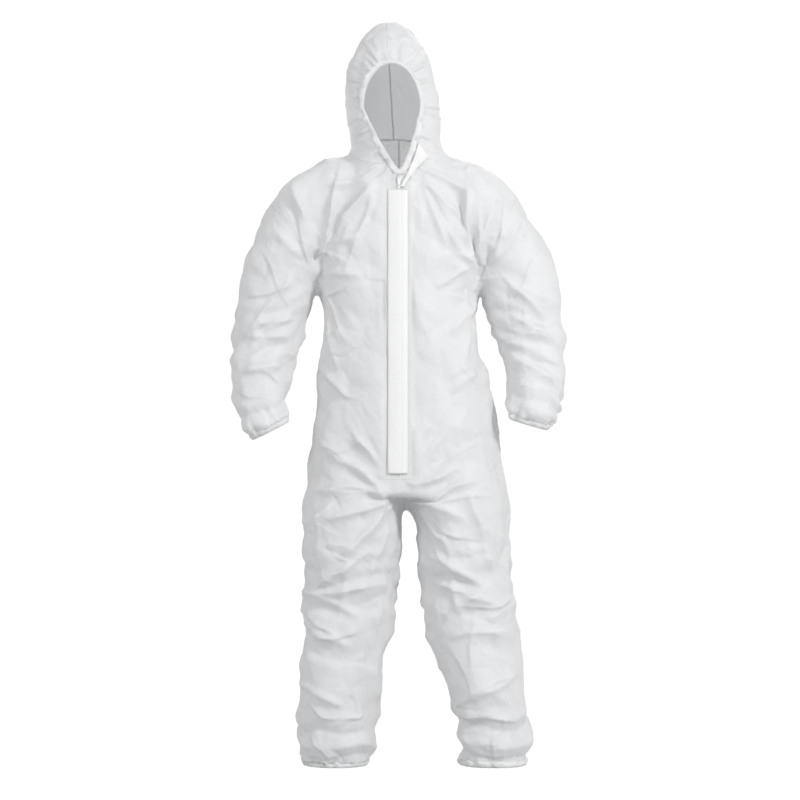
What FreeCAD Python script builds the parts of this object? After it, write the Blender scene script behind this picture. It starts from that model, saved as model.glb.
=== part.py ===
"""Hooded chemical protective coverall, worn shape, as separate sewn pieces with joints where it bends.

Millimetres, +Z up, the wearer faces -Y and the wearer's left is +X. The origin is on the floor,
under the middle of the suit's bounding box. Every cloth piece is a thin closed shell.
Each run writes one STEP file per piece into parts/.
"""

import FreeCAD
import Part
import math
import os

from FreeCAD import Placement, Rotation, Vector

# ---- driving dimensions ----
WALL = 1.2            # cloth wall, a stand-in for cloth 0.3 mm thick
PANEL_GAP = 0.4       # between two panels of one body
JOINT_GAP = 2.0       # between two bodies at a bend
SLEEVE_GAP = 4.0      # between a sleeve and the body beside it, so that the arm can swing
LAYER_GAP = 0.3       # between the cloth and an elastic sewn inside it
ELASTIC = 1.0         # elastic thickness
BIG = 2500.0          # half size of a cutting block

LEFT, RIGHT = 1, -1
X_AXIS, Y_AXIS, Z_AXIS = Vector(1, 0, 0), Vector(0, 1, 0), Vector(0, 0, 1)

# zip line: straight, from the collar down the centre front, leaning 3 in 100
ZIP_TOP_Y, ZIP_TOP_Z = -112.0, 1412.0
ZIP_LEAN = 0.03
ZIP_LENGTH = 700.0
CHANNEL = 6.0         # half gap between the two front edges, over the coils
TAPE_IN, TAPE_OUT = 0.6, 14.0
TAPE_BOTTOM, TAPE_TOP = -3.3, -2.8
COIL_IN, COIL_OUT, COIL_TOP = 0.9, 2.9, -0.2

# storm flap: sewn at +X of the zip, free edge at -X
FLAP_FREE_X, FLAP_ROOT_X, FLAP_HINGE_X = -26.0, 13.0, 17.0
FLAP_LOW, FLAP_HIGH, FLAP_HINGE_H = 4.8, 5.8, 3.2
FLAP_START = 34.0     # below the top of the zip, so the slider's tab stays clear

# neck seam plane: height = NECK_Z + NECK_SLOPE * y
NECK_Z, NECK_SLOPE = 1480.0, 0.36
NECK_GAP = 1.0
# face opening: an upright oval over a V that runs down to the zip
FACE_X, FACE_Z, FACE_HALF_W, FACE_HALF_H = -16.0, 1577.0, 68.0, 106.0
FACE_HEM = 9.0
HOOD_SEAM_X = -18.0

# joints
SHOULDER = Vector(190, 0, 1352)
SHOULDER_R = 118.0
ELBOW = Vector(314, 0, 1025)
ELBOW_R = 118.0
HIP_Z, HIP_R = 800.0, 200.0
STRIP_RIGHT, STRIP_LEFT = -31.0, 64.0   # centre strip of the seat that stays with the torso
KNEE_Y, KNEE_Z, KNEE_R = -5.0, 420.0, 152.0

# openings at the wrists and ankles
CUFF_R, CUFF_HEM, CUFF_ELASTIC = 40.0, 20.0, 12.0
CUFF_CENTRE, CUFF_LEAN = Vector(324, -57, 820), 0.30
ANKLE_R, ANKLE_HEM, ANKLE_ELASTIC, ANKLE_Y = 76.0, 26.0, 15.0, -5.0
CROTCH_X = 20.0       # the legs part here, a little to the wearer's left

# torso: height, centre x, back y, half width; the front follows the zip line
TORSO = (
    (655, 20, 135, 236),
    (700, 20, 142, 240),
    (800, 15, 150, 225),
    (900, 12, 140, 212),
    (1000, 8, 118, 194),
    (1060, 5, 112, 184),
    (1150, 3, 122, 192),
    (1250, 0, 135, 196),
    (1340, 0, 130, 176),
    (1410, -2, 112, 142),
    (1470, -5, 98, 114),
    (1540, -8, 90, 104),
)
# sleeve: centre x, y, z, half width across, half depth
SLEEVE = (
    (40, -5, 1405, 70, 78),
    (120, -3, 1385, 78, 80),
    (205, 0, 1335, 88, 84),
    (268, 4, 1240, 87, 84),
    (296, 8, 1140, 85, 82),
    (304, 8, 1060, 80, 78),
    (322, -8, 985, 72, 72),
    (331, -28, 915, 67, 66),
    (322, -46, 858, 65, 62),
    (324, -57, 822, 44, 44),
)
# leg: height, half width, half depth; the centre line is a curve through hip, knee and ankle
LEG = (
    (658, 106, 97),
    (630, 111, 112),
    (560, 114, 116),
    (420, 116, 106),
    (280, 106, 100),
    (160, 96, 99),
    (80, 88, 94),
    (26, 79, 79),
)
LEG_LINE = {LEFT: ((800, 128), (420, 173), (26, 229)), RIGHT: ((800, -88), (420, -115), (26, -148))}
# hood: height, centre x, front y, back y, half width
HOOD = (
    (1390, -4, -108, 84, 108),
    (1490, -6, -118, 90, 108),
    (1560, -11, -124, 104, 110),
    (1640, -16, -118, 116, 108),
    (1700, -18, -100, 108, 95),
    (1745, -19, -72, 88, 72),
    (1780, -21, -42, 58, 42),
    (1800, -24, -10, 24, 10),
)


# ---- small helpers ----
def zip_front_y(z):
    """y of the centre front at a height."""
    return ZIP_TOP_Y + ZIP_LEAN * (z - ZIP_TOP_Z)


def through(points, z):
    """Value at z of the parabola through three (z, value) points."""
    total = 0.0
    for i, (zi, vi) in enumerate(points):
        share = 1.0
        for j, (zj, _) in enumerate(points):
            if j != i:
                share *= (z - zj) / (zi - zj)
        total += vi * share
    return total


def ring(centre, across, depth, half_a, half_b, start=0.0, points=9):
    """A closed oval wire of two half curves, the first beginning a share of a turn round from across."""
    halves = []
    for first in (start, start + 0.5):
        angles = [2 * math.pi * first + math.pi * i / (points - 1) for i in range(points)]
        spots = [centre + across * (half_a * math.cos(t)) + depth * (half_b * math.sin(t)) for t in angles]
        ends = [depth * (half_b * math.cos(t)) - across * (half_a * math.sin(t)) for t in (angles[0], angles[-1])]
        curve = Part.BSplineCurve()
        curve.interpolate(Points=spots, InitialTangent=ends[0], FinalTangent=ends[1])
        halves.append(curve.toShape())
    return Part.Wire(halves)


def loft(rings):
    return Part.makeLoft(rings, True, True)


def block(x0, x1, y0, y1, z0, z1):
    return Part.makeBox(x1 - x0, y1 - y0, z1 - z0, Vector(x0, y0, z0))


def rod_x(y, z, radius, x0=-BIG, x1=BIG):
    """A cylinder along X."""
    return Part.makeCylinder(radius, x1 - x0, Vector(x0, y, z), X_AXIS)


def ball(centre, radius):
    return Part.makeSphere(radius, centre)


def side(point, s):
    """A point given for the wearer's left, moved to side s."""
    return Vector(s * point.x, point.y, point.z)


def solids(shape, least=20.0):
    """The shape's solids, without slivers."""
    kept = [s for s in shape.Solids if s.Volume > least]
    return kept[0] if len(kept) == 1 else Part.makeCompound(kept)


def save(name, shape):
    shape.exportStep(f"parts/{name}.step")


# ---- closed volumes, each shrunk by an inset ----
def torso_volume(inset):
    """Neck to crotch, with a flat floor at the crotch; a hollow stops short of the floor and passes the neck."""
    rings = []
    for z, cx, back, half_w in TORSO:
        front = zip_front_y(z)
        if z == TORSO[0][0]:
            z += inset
        if z == TORSO[-1][0] and inset > 0:
            z += 8
        centre = Vector(cx, (front + back) / 2, z)
        rings.append(ring(centre, X_AXIS, Y_AXIS, half_w - inset, (back - front) / 2 - inset, 0.25))
    return loft(rings)


def sleeve_volume(s, inset):
    """A sleeve from inside the neck to the wrist; a hollow runs on past the wrist."""
    rings = []
    centres = [Vector(x, y, z) for x, y, z, _, _ in SLEEVE]
    for i, (_, _, _, half_a, half_b) in enumerate(SLEEVE):
        along = centres[min(i + 1, len(centres) - 1)] - centres[max(i - 1, 0)]
        centre = centres[i]
        if i == len(centres) - 1:
            along = cuff_axis()
        if i == 0 and inset > 0:
            centre = centre - along * 0.05
        across = Y_AXIS.cross(along).normalize()
        depth = along.cross(across).normalize()
        rings.append(ring(centre, across, depth, half_a - inset, half_b - inset, 0.5))
    if inset > 0:
        rings.append(ring(centre + along * 6, across, depth, half_a - inset, half_b - inset, 0.5))
    tube = loft(rings)
    return tube if s == LEFT else tube.mirror(Vector(0, 0, 0), X_AXIS)


def leg_volume(s, inset):
    """A leg from inside the hips to the ankle; a hollow runs on past the ankle."""
    rings = []
    for z, half_w, half_d in LEG:
        share = (LEG[0][0] - z) / (LEG[0][0] - LEG[-1][0])
        centre = Vector(through(LEG_LINE[s], z), ANKLE_Y * share, z)
        rings.append(ring(centre, X_AXIS, Y_AXIS, half_w - inset, half_d - inset, 0.25))
    if inset > 0:
        rings.append(ring(centre - Z_AXIS * 6, X_AXIS, Y_AXIS, half_w - inset, half_d - inset, 0.25))
    return loft(rings)


def hood_volume(inset):
    rings = []
    for z, cx, front, back, half_w in HOOD:
        top_inset = min(inset, 0.5 * half_w)
        centre = Vector(cx, (front + back) / 2, z)
        if z == HOOD[-1][0]:
            centre.z -= inset
        rings.append(ring(centre, X_AXIS, Y_AXIS, half_w - top_inset, (back - front) / 2 - top_inset))
    return loft(rings)


def above_neck(lift):
    """Everything above the neck seam plane, raised by lift."""
    slab = block(-BIG, BIG, -BIG, BIG, 0, BIG)
    slab.Placement = Placement(Vector(0, 0, NECK_Z + lift), Rotation(X_AXIS, math.degrees(math.atan(NECK_SLOPE))))
    return slab


def face_cutter(grow):
    """The face oval, grown all round, as a bar from the front into the hood."""
    outline = ring(Vector(FACE_X, -BIG, FACE_Z), X_AXIS, Z_AXIS, FACE_HALF_W + grow, FACE_HALF_H + grow)
    return Part.Face(outline).extrude(Vector(0, BIG - 25, 0))


def neck_v():
    """The V below the oval, down to the top of the zip."""
    corners = [Vector(-62, -BIG, 1505), Vector(53, -BIG, 1505), Vector(0, -BIG, ZIP_TOP_Z - 2), Vector(-62, -BIG, 1505)]
    return Part.Face(Part.makePolygon(corners)).extrude(Vector(0, BIG - 25, 0))


def cuff_axis():
    """The way a hand leaves either cuff."""
    return Vector(0, -CUFF_LEAN, -1).normalize()


# ---- zip, in its own frame: x across, h out of the cloth, s down from the top ----
def on_zip(shape):
    shape.Placement = Placement(Vector(0, ZIP_TOP_Y, ZIP_TOP_Z), Rotation(X_AXIS, -math.degrees(math.atan(ZIP_LEAN))))
    return shape


def zip_bar(x0, x1, h0, h1, s0, s1):
    return block(x0, x1, -h1, -h0, -s1, -s0)


def mirrored_pair(maker):
    """The same bar at both sides of the zip: maker takes the sign of x."""
    return maker(RIGHT), maker(LEFT)


def zip_tape(s):
    x0, x1 = sorted((s * TAPE_IN, s * TAPE_OUT))
    return on_zip(zip_bar(x0, x1, TAPE_BOTTOM, TAPE_TOP, 0, ZIP_LENGTH + 8))


def zip_coil(s):
    x0, x1 = sorted((s * COIL_IN, s * COIL_OUT))
    bar = zip_bar(x0, x1, TAPE_TOP, COIL_TOP, 2, ZIP_LENGTH - 6)
    long_edges = [e for e in bar.Edges if e.Length > 100 and e.BoundBox.YMin < 1]
    return on_zip(bar.makeFillet(0.5, long_edges))


def zip_top_stops():
    stops = mirrored_pair(lambda s: zip_bar(*sorted((s * 0.8, s * 3.0)), TAPE_TOP, 0.0, -3.0, 1.0))
    return on_zip(Part.makeCompound([p.makeFillet(0.3, p.Edges) for p in stops]))


def zip_bottom_stop():
    bar = zip_bar(-3.2, 3.2, TAPE_TOP, 0.1, ZIP_LENGTH - 5, ZIP_LENGTH)
    return on_zip(bar.makeFillet(0.4, bar.Edges))


SLIDER_TOP, SLIDER_LENGTH, SLIDER_HALF_W = 2.0, 12.0, 4.6
PIN_S, PIN_H, PIN_R = 4.8, 2.8, 0.5


def zip_slider():
    s0, s1, w = SLIDER_TOP, SLIDER_TOP + SLIDER_LENGTH, SLIDER_HALF_W
    parts = [
        zip_bar(-w, w, 0.3, 1.3, s0, s1),
        zip_bar(-w, w, -4.7, -3.6, s0, s1),
        zip_bar(-0.4, 0.4, -3.7, 0.4, s0, s0 + 3),
    ]
    parts += [zip_bar(*sorted((s * 3.3, s * w)), -2.5, 0.4, s0, s1) for s in (LEFT, RIGHT)]
    parts += [zip_bar(*sorted((s * 1.7, s * 2.6)), 1.2, 3.6, PIN_S - 1.2, PIN_S + 1.2) for s in (LEFT, RIGHT)]
    pin = Part.makeCylinder(PIN_R, 4.0, Vector(-2.0, -PIN_H, -PIN_S), X_AXIS)
    body = parts[0].fuse(parts[1:] + [pin]).removeSplitter()
    return on_zip(body)


TAB_LENGTH, TAB_HALF_W = 24.0, 3.2


def zip_pull_tab():
    eye = Part.makeCylinder(1.2, 2.8, Vector(-1.4, -PIN_H, -PIN_S), X_AXIS)
    neck = zip_bar(-1.4, 1.4, PIN_H - 0.6, PIN_H + 0.6, PIN_S, PIN_S + 6)
    grip = zip_bar(-TAB_HALF_W, TAB_HALF_W, PIN_H - 0.6, PIN_H + 0.6, PIN_S + 4, PIN_S + TAB_LENGTH)
    corners = [e for e in grip.Edges if abs(e.BoundBox.YLength - 1.2) < 0.01 and e.Length < 1.3]
    grip = grip.makeFillet(2.0, corners)
    bore = Part.makeCylinder(PIN_R + 0.06, 4.0, Vector(-2.0, -PIN_H, -PIN_S), X_AXIS)
    hole = Part.makeCylinder(1.6, 3.0, Vector(0, -PIN_H - 1.5, -PIN_S - TAB_LENGTH + 5), Y_AXIS)
    return on_zip(eye.fuse([neck, grip]).cut(bore).cut(hole).removeSplitter())


def storm_flap():
    """A strip over the zip, with a root that stands on the left front panel."""
    end = ZIP_LENGTH + 4
    strip = zip_bar(FLAP_FREE_X, FLAP_HINGE_X, FLAP_LOW, FLAP_HIGH, FLAP_START, end)
    root = zip_bar(FLAP_ROOT_X, FLAP_HINGE_X, 0.6, FLAP_HIGH, FLAP_START, end)
    return on_zip(strip.fuse(root).removeSplitter())


# ---- torso, hood, sleeves and legs ----
def hip_zone(s, grow):
    """What swings with a thigh: beside the centre strip, below the hip or within its radius."""
    radius = HIP_R - JOINT_GAP + grow
    inner = STRIP_LEFT + JOINT_GAP - grow if s == LEFT else STRIP_RIGHT - JOINT_GAP + grow
    x0, x1 = sorted((inner, s * BIG))
    start, top, end = (Vector(x0, y, HIP_Z + h) for y, h in ((-radius, 0), (0, radius), (radius, 0)))
    low = [Vector(x0, radius, -BIG), Vector(x0, -radius, -BIG)]
    edges = [Part.Arc(start, top, end).toShape()]
    edges += [Part.makeLine(p, q) for p, q in zip([end] + low, low + [start])]
    return Part.Face(Part.Wire(edges)).extrude(Vector(x1 - x0, 0, 0))


def strip_of_leg(s, grow):
    """The inner side of a leg under the centre strip, which stays with the torso."""
    inner = STRIP_LEFT + grow if s == LEFT else STRIP_RIGHT - grow
    return rod_x(0, HIP_Z, HIP_R + grow, *sorted((CROTCH_X - s * 15, inner)))


def shin_zone(s, grow):
    x0, x1 = sorted((CROTCH_X, s * BIG))
    below = block(x0, x1, -BIG, BIG, -BIG, KNEE_Z)
    return below.fuse(rod_x(KNEE_Y, KNEE_Z, KNEE_R - JOINT_GAP + grow, x0, x1))


def arm_side(s):
    """The half space beyond the shoulder, outward and down."""
    half = block(0, BIG, -BIG, BIG, -BIG, BIG)
    half.Placement = Placement(side(SHOULDER, s), Rotation(Y_AXIS, 45 if s == LEFT else 135))
    return half


def forearm_zone(s, grow):
    below = block(-BIG, BIG, -BIG, BIG, -BIG, ELBOW.z)
    return below.fuse(ball(side(ELBOW, s), ELBOW_R - JOINT_GAP + grow))


def build_torso(skin, arms, legs):
    """The body panels: neck to hips with the shoulders, and the strip between the legs."""
    for s in (LEFT, RIGHT):
        skin = skin.cut(ball(side(SHOULDER, s), SHOULDER_R))
        skin = skin.cut(hip_zone(s, JOINT_GAP))
    skin = skin.fuse([legs[s].common(strip_of_leg(s, 0)) for s in (LEFT, RIGHT)])
    for s in (LEFT, RIGHT):
        skin = skin.fuse(arms[s].cut(arm_side(s)).cut(ball(side(SHOULDER, s), SHOULDER_R)))
    skin = skin.cut(above_neck(-NECK_GAP / 2)).cut(neck_v())
    channel = zip_bar(-CHANNEL, CHANNEL, -8, 20, -60, ZIP_LENGTH + 2)
    skin = skin.cut(on_zip(channel))
    for s, word in ((LEFT, "left"), (RIGHT, "right")):
        x0, x1 = sorted((s * PANEL_GAP / 2, s * BIG))
        save(f"{word}_front_panel", solids(skin.common(block(x0, x1, -BIG, -PANEL_GAP / 2, 0, BIG))))
        save(f"{word}_back_panel", solids(skin.common(block(x0, x1, PANEL_GAP / 2, BIG, 0, BIG))))
    inside = WALL + LAYER_GAP
    band = torso_volume(inside).cut(torso_volume(inside + ELASTIC))
    save("back_waist_elastic", solids(band.common(block(-BIG, BIG, 20, BIG, 1045, 1075))))


def build_hood():
    skin = hood_volume(0).cut(hood_volume(WALL)).common(above_neck(NECK_GAP / 2)).cut(neck_v())
    skin = skin.cut(face_cutter(0))
    rim = face_cutter(FACE_HEM)
    save("hood_face_hem", solids(skin.common(rim)))
    panels = skin.cut(face_cutter(FACE_HEM + PANEL_GAP))
    save("hood_left_panel", solids(panels.common(block(HOOD_SEAM_X + PANEL_GAP / 2, BIG, -BIG, BIG, 0, BIG))))
    save("hood_right_panel", solids(panels.common(block(-BIG, HOOD_SEAM_X - PANEL_GAP / 2, -BIG, BIG, 0, BIG))))
    inside = WALL + LAYER_GAP
    band = hood_volume(inside).cut(hood_volume(inside + ELASTIC)).common(above_neck(NECK_GAP / 2))
    band = band.common(face_cutter(FACE_HEM - 2)).cut(face_cutter(1)).cut(neck_v())
    save("hood_face_elastic", solids(band))


def build_chin_flap():
    """The top of the storm flap, turned out beside the open neck and sewn to the hood's left edge."""
    outer = hood_volume(-2.6).fuse(torso_volume(-2.6))
    inner = hood_volume(-1.4).fuse(torso_volume(-1.4))
    corners = [Vector(7, -BIG, 1410), Vector(20, -BIG, 1394), Vector(68, -BIG, 1464), Vector(53, -BIG, 1488)]
    outline = Part.Face(Part.makePolygon(corners + corners[:1])).extrude(Vector(0, BIG - 25, 0))
    save("chin_flap", solids(outer.cut(inner).common(outline)))


def build_sleeve(s, word, skin, arm, free_arm):
    joint_ball = ball(side(SHOULDER, s), SHOULDER_R - JOINT_GAP)
    cap = arm.common(joint_ball).fuse(skin.common(joint_ball))
    save(f"{word}_shoulder_cap", solids(cap.cut(above_neck(-NECK_GAP / 2))))
    upper = free_arm.cut(forearm_zone(s, JOINT_GAP)).common(arm_side(s)).cut(joint_ball)
    save(f"{word}_sleeve_upper", solids(upper))
    save(f"{word}_sleeve_lower", solids(free_arm.common(forearm_zone(s, 0))))
    axis, top = cuff_axis(), side(CUFF_CENTRE, s)
    inner = CUFF_R + ELASTIC + LAYER_GAP
    start = top + axis * PANEL_GAP
    hem = Part.makeCylinder(inner + WALL * 1.5, CUFF_HEM, start, axis)
    save(f"{word}_cuff_hem", hem.cut(Part.makeCylinder(inner, CUFF_HEM, start, axis)))
    start = top + axis * ((CUFF_HEM - CUFF_ELASTIC) / 2)
    band = Part.makeCylinder(CUFF_R + ELASTIC, CUFF_ELASTIC, start, axis)
    save(f"{word}_cuff_elastic", band.cut(Part.makeCylinder(CUFF_R, CUFF_ELASTIC, start, axis)))


def build_leg(s, word, skin, leg):
    whole = skin.common(hip_zone(s, 0)).fuse(leg.cut(strip_of_leg(s, JOINT_GAP)))
    thigh = whole.cut(shin_zone(s, JOINT_GAP))
    shin = leg.common(shin_zone(s, 0))
    for name, shape in (("leg_upper", thigh), ("leg_lower", shin)):
        save(f"{word}_{name}_front", solids(shape.common(block(-BIG, BIG, -BIG, -PANEL_GAP / 2, -BIG, BIG))))
        save(f"{word}_{name}_back", solids(shape.common(block(-BIG, BIG, PANEL_GAP / 2, BIG, -BIG, BIG))))
    centre = Vector(through(LEG_LINE[s], LEG[-1][0]), ANKLE_Y, 0)
    inner = ANKLE_R + ELASTIC + LAYER_GAP
    height = ANKLE_HEM - PANEL_GAP
    hem = Part.makeCylinder(inner + WALL * 1.5, height, centre, Z_AXIS)
    save(f"{word}_ankle_hem", hem.cut(Part.makeCylinder(inner, height, centre, Z_AXIS)))
    start = centre + Vector(0, 0, (ANKLE_HEM - ANKLE_ELASTIC) / 2)
    band = Part.makeCylinder(ANKLE_R + ELASTIC, ANKLE_ELASTIC, start, Z_AXIS)
    save(f"{word}_ankle_elastic", band.cut(Part.makeCylinder(ANKLE_R, ANKLE_ELASTIC, start, Z_AXIS)))


def main():
    os.makedirs("parts", exist_ok=True)
    pockets = {s: sleeve_volume(s, WALL) for s in (LEFT, RIGHT)}
    hollows = {s: leg_volume(s, WALL) for s in (LEFT, RIGHT)}
    inside = torso_volume(WALL).fuse(list(pockets.values()) + list(hollows.values()))
    skin = torso_volume(0).cut(inside)
    below_hips = block(-BIG, BIG, -BIG, BIG, -BIG, TORSO[0][0] + WALL / 2)
    arms, free_arms, legs = {}, {}, {}
    tubes = {LEFT: sleeve_volume(LEFT, 0).cut(pockets[LEFT])}
    tubes[RIGHT] = tubes[LEFT].mirror(Vector(0, 0, 0), X_AXIS)
    for s in (LEFT, RIGHT):
        arms[s] = tubes[s].cut(torso_volume(WALL / 2))
        free_arms[s] = tubes[s].cut(torso_volume(-SLEEVE_GAP))
        legs[s] = leg_volume(s, 0).common(below_hips).cut(hollows[s])
    build_torso(skin, arms, legs)
    build_hood()
    build_chin_flap()
    for s, word in ((LEFT, "left"), (RIGHT, "right")):
        build_sleeve(s, word, skin, arms[s], free_arms[s])
        build_leg(s, word, skin, legs[s])
        save(f"{word}_zip_tape", zip_tape(s))
        save(f"{word}_zip_coil", zip_coil(s))
    save("zip_top_stops", zip_top_stops())
    save("zip_bottom_stop", zip_bottom_stop())
    save("zip_slider", zip_slider())
    save("zip_pull_tab", zip_pull_tab())
    save("storm_flap", storm_flap())


main()
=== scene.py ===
import math

import bmesh
import bpy
import numpy as np
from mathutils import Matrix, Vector, noise
from mathutils.bvhtree import BVHTree


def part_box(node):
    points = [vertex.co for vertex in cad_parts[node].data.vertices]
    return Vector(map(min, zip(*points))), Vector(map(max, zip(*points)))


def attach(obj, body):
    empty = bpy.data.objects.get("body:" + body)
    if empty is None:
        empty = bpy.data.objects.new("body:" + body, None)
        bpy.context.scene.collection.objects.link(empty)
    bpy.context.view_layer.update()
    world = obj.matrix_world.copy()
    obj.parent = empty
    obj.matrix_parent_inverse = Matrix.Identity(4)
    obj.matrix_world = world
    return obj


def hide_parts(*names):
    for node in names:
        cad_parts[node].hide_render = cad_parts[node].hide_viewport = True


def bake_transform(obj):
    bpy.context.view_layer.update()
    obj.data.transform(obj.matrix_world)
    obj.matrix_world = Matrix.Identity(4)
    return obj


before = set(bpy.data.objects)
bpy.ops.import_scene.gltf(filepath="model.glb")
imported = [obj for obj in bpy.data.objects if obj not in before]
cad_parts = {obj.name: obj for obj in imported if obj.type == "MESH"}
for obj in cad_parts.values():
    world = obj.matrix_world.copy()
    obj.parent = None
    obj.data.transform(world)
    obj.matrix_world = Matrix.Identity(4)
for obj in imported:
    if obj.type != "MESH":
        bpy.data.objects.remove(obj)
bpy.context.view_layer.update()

# Metres. The suit faces -Y, and +X is the wearer's left. The cloth of the whole suit is built as one open
# surface, crumpled by a short cloth simulation, and cut into one piece for each sewn panel.
VOXEL = 0.0066          # size of the cloth's grid
THICK = 0.0008          # thickness of the visible cloth
LEFT, RIGHT = 1, -1
SIDES = ((LEFT, "left"), (RIGHT, "right"))


# ---------------------------------------------------------------- small helpers
def smooth(t):
    """A soft step from 0 to 1 as t goes from 0 to 1."""
    t = np.clip(t, 0.0, 1.0)
    return t * t * (3 - 2 * t)


def new_object(name, verts, faces):
    mesh = bpy.data.meshes.new(name)
    mesh.from_pydata([tuple(v) for v in verts], [], [tuple(f) for f in faces])
    mesh.update()
    obj = bpy.data.objects.new(name, mesh)
    bpy.context.scene.collection.objects.link(obj)
    return obj


def coords(obj):
    co = np.empty(len(obj.data.vertices) * 3)
    obj.data.vertices.foreach_get("co", co)
    return co.reshape(-1, 3)


def vertex_normals(obj):
    nrm = np.empty(len(obj.data.vertices) * 3)
    obj.data.vertices.foreach_get("normal", nrm)
    return nrm.reshape(-1, 3)


def set_coords(obj, co):
    obj.data.vertices.foreach_set("co", np.asarray(co, np.float64).ravel())
    obj.data.update()


def smooth_rings(rows, per=6):
    """Rows of numbers, each interpolated by a curve through its neighbours, per steps between two rows."""
    rows = np.array(rows, float)
    out = []
    for i in range(len(rows) - 1):
        p0, p1 = rows[max(i - 1, 0)], rows[i]
        p2, p3 = rows[i + 1], rows[min(i + 2, len(rows) - 1)]
        for k in range(per):
            t = k / per
            out.append(0.5 * (2 * p1 + (p2 - p0) * t + (2 * p0 - 5 * p1 + 4 * p2 - p3) * t * t
                              + (3 * p1 - p0 - 3 * p2 + p3) * t ** 3))
    out.append(rows[-1])
    return np.array(out)


def tube(name, centres, across, depth, half_a, half_b, power=2.0, around=72):
    """A closed lofted tube with flat ends."""
    verts, faces = [], []
    angles = np.linspace(0, 2 * math.pi, around, endpoint=False)
    ca, sa = np.cos(angles), np.sin(angles)
    ca = np.sign(ca) * np.abs(ca) ** (2 / power)
    sa = np.sign(sa) * np.abs(sa) ** (2 / power)
    for c, u, v, a, b in zip(centres, across, depth, half_a, half_b):
        for i in range(around):
            verts.append(c + u * (a * ca[i]) + v * (b * sa[i]))
    n = len(centres)
    for r in range(n - 1):
        for i in range(around):
            j = (i + 1) % around
            faces.append((r * around + i, r * around + j, (r + 1) * around + j, (r + 1) * around + i))
    faces.append(tuple(reversed(range(around))))
    faces.append(tuple(range((n - 1) * around, n * around)))
    return new_object(name, verts, faces)


def upright_tube(name, rows, power=2.0):
    """Rows of (height, low x, high x, front y, back y)."""
    rows = smooth_rings(rows)
    n = len(rows)
    centres = np.stack([(rows[:, 1] + rows[:, 2]) / 2, (rows[:, 3] + rows[:, 4]) / 2, rows[:, 0]], 1)
    x, y = np.array([1.0, 0, 0]), np.array([0, 1.0, 0])
    half_x, half_y = (rows[:, 2] - rows[:, 1]) / 2, (rows[:, 4] - rows[:, 3]) / 2
    return tube(name, centres, [x] * n, [y] * n, half_x, half_y, power)


# ---------------------------------------------------------------- the suit's shape, in metres
ZIP_TOP = np.array([0.0, -0.112, 1.412])
ZIP_LEAN = 0.03


def zip_y(z):
    """y of the centre front at a height."""
    return ZIP_TOP[1] + ZIP_LEAN * (z - ZIP_TOP[2])


TORSO = (    # height, low x, high x, back y; the front follows the zip line
    (0.660, -0.216, 0.258, 0.136),
    (0.700, -0.216, 0.254, 0.146),
    (0.760, -0.214, 0.245, 0.152),
    (0.830, -0.209, 0.234, 0.150),
    (0.900, -0.203, 0.218, 0.142),
    (0.960, -0.196, 0.208, 0.130),
    (1.030, -0.184, 0.190, 0.118),
    (1.090, -0.184, 0.185, 0.118),
    (1.160, -0.196, 0.196, 0.126),
    (1.230, -0.202, 0.202, 0.134),
    (1.300, -0.198, 0.200, 0.136),
    (1.360, -0.180, 0.184, 0.130),
    (1.410, -0.152, 0.156, 0.116),
    (1.450, -0.128, 0.126, 0.102),
    (1.500, -0.112, 0.100, 0.094),
)
HOOD = (     # height, low x, high x, front y, back y
    (1.430, -0.104, 0.096, -0.106, 0.084),
    (1.489, -0.116, 0.098, -0.118, 0.092),
    (1.546, -0.122, 0.098, -0.124, 0.102),
    (1.604, -0.127, 0.094, -0.122, 0.112),
    (1.655, -0.127, 0.086, -0.114, 0.116),
    (1.695, -0.119, 0.079, -0.100, 0.112),
    (1.725, -0.106, 0.064, -0.082, 0.100),
    (1.750, -0.090, 0.046, -0.061, 0.080),
    (1.774, -0.068, 0.022, -0.038, 0.052),
    (1.789, -0.048, 0.000, -0.020, 0.026),
)
SLEEVE = (   # for the wearer's left: centre x, y, z, half width, half depth
    (0.060, -0.005, 1.393, 0.076, 0.074),
    (0.130, -0.003, 1.380, 0.086, 0.082),
    (0.198, 0.000, 1.330, 0.096, 0.088),
    (0.254, 0.003, 1.248, 0.096, 0.088),
    (0.290, 0.003, 1.155, 0.091, 0.084),
    (0.302, 0.000, 1.080, 0.087, 0.080),
    (0.318, -0.010, 1.005, 0.079, 0.076),
    (0.331, -0.026, 0.940, 0.071, 0.072),
    (0.329, -0.042, 0.885, 0.069, 0.068),
    (0.321, -0.053, 0.856, 0.066, 0.062),
    (0.313, -0.059, 0.834, 0.057, 0.050),
    (0.307, -0.062, 0.816, 0.047, 0.041),
)
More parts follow.
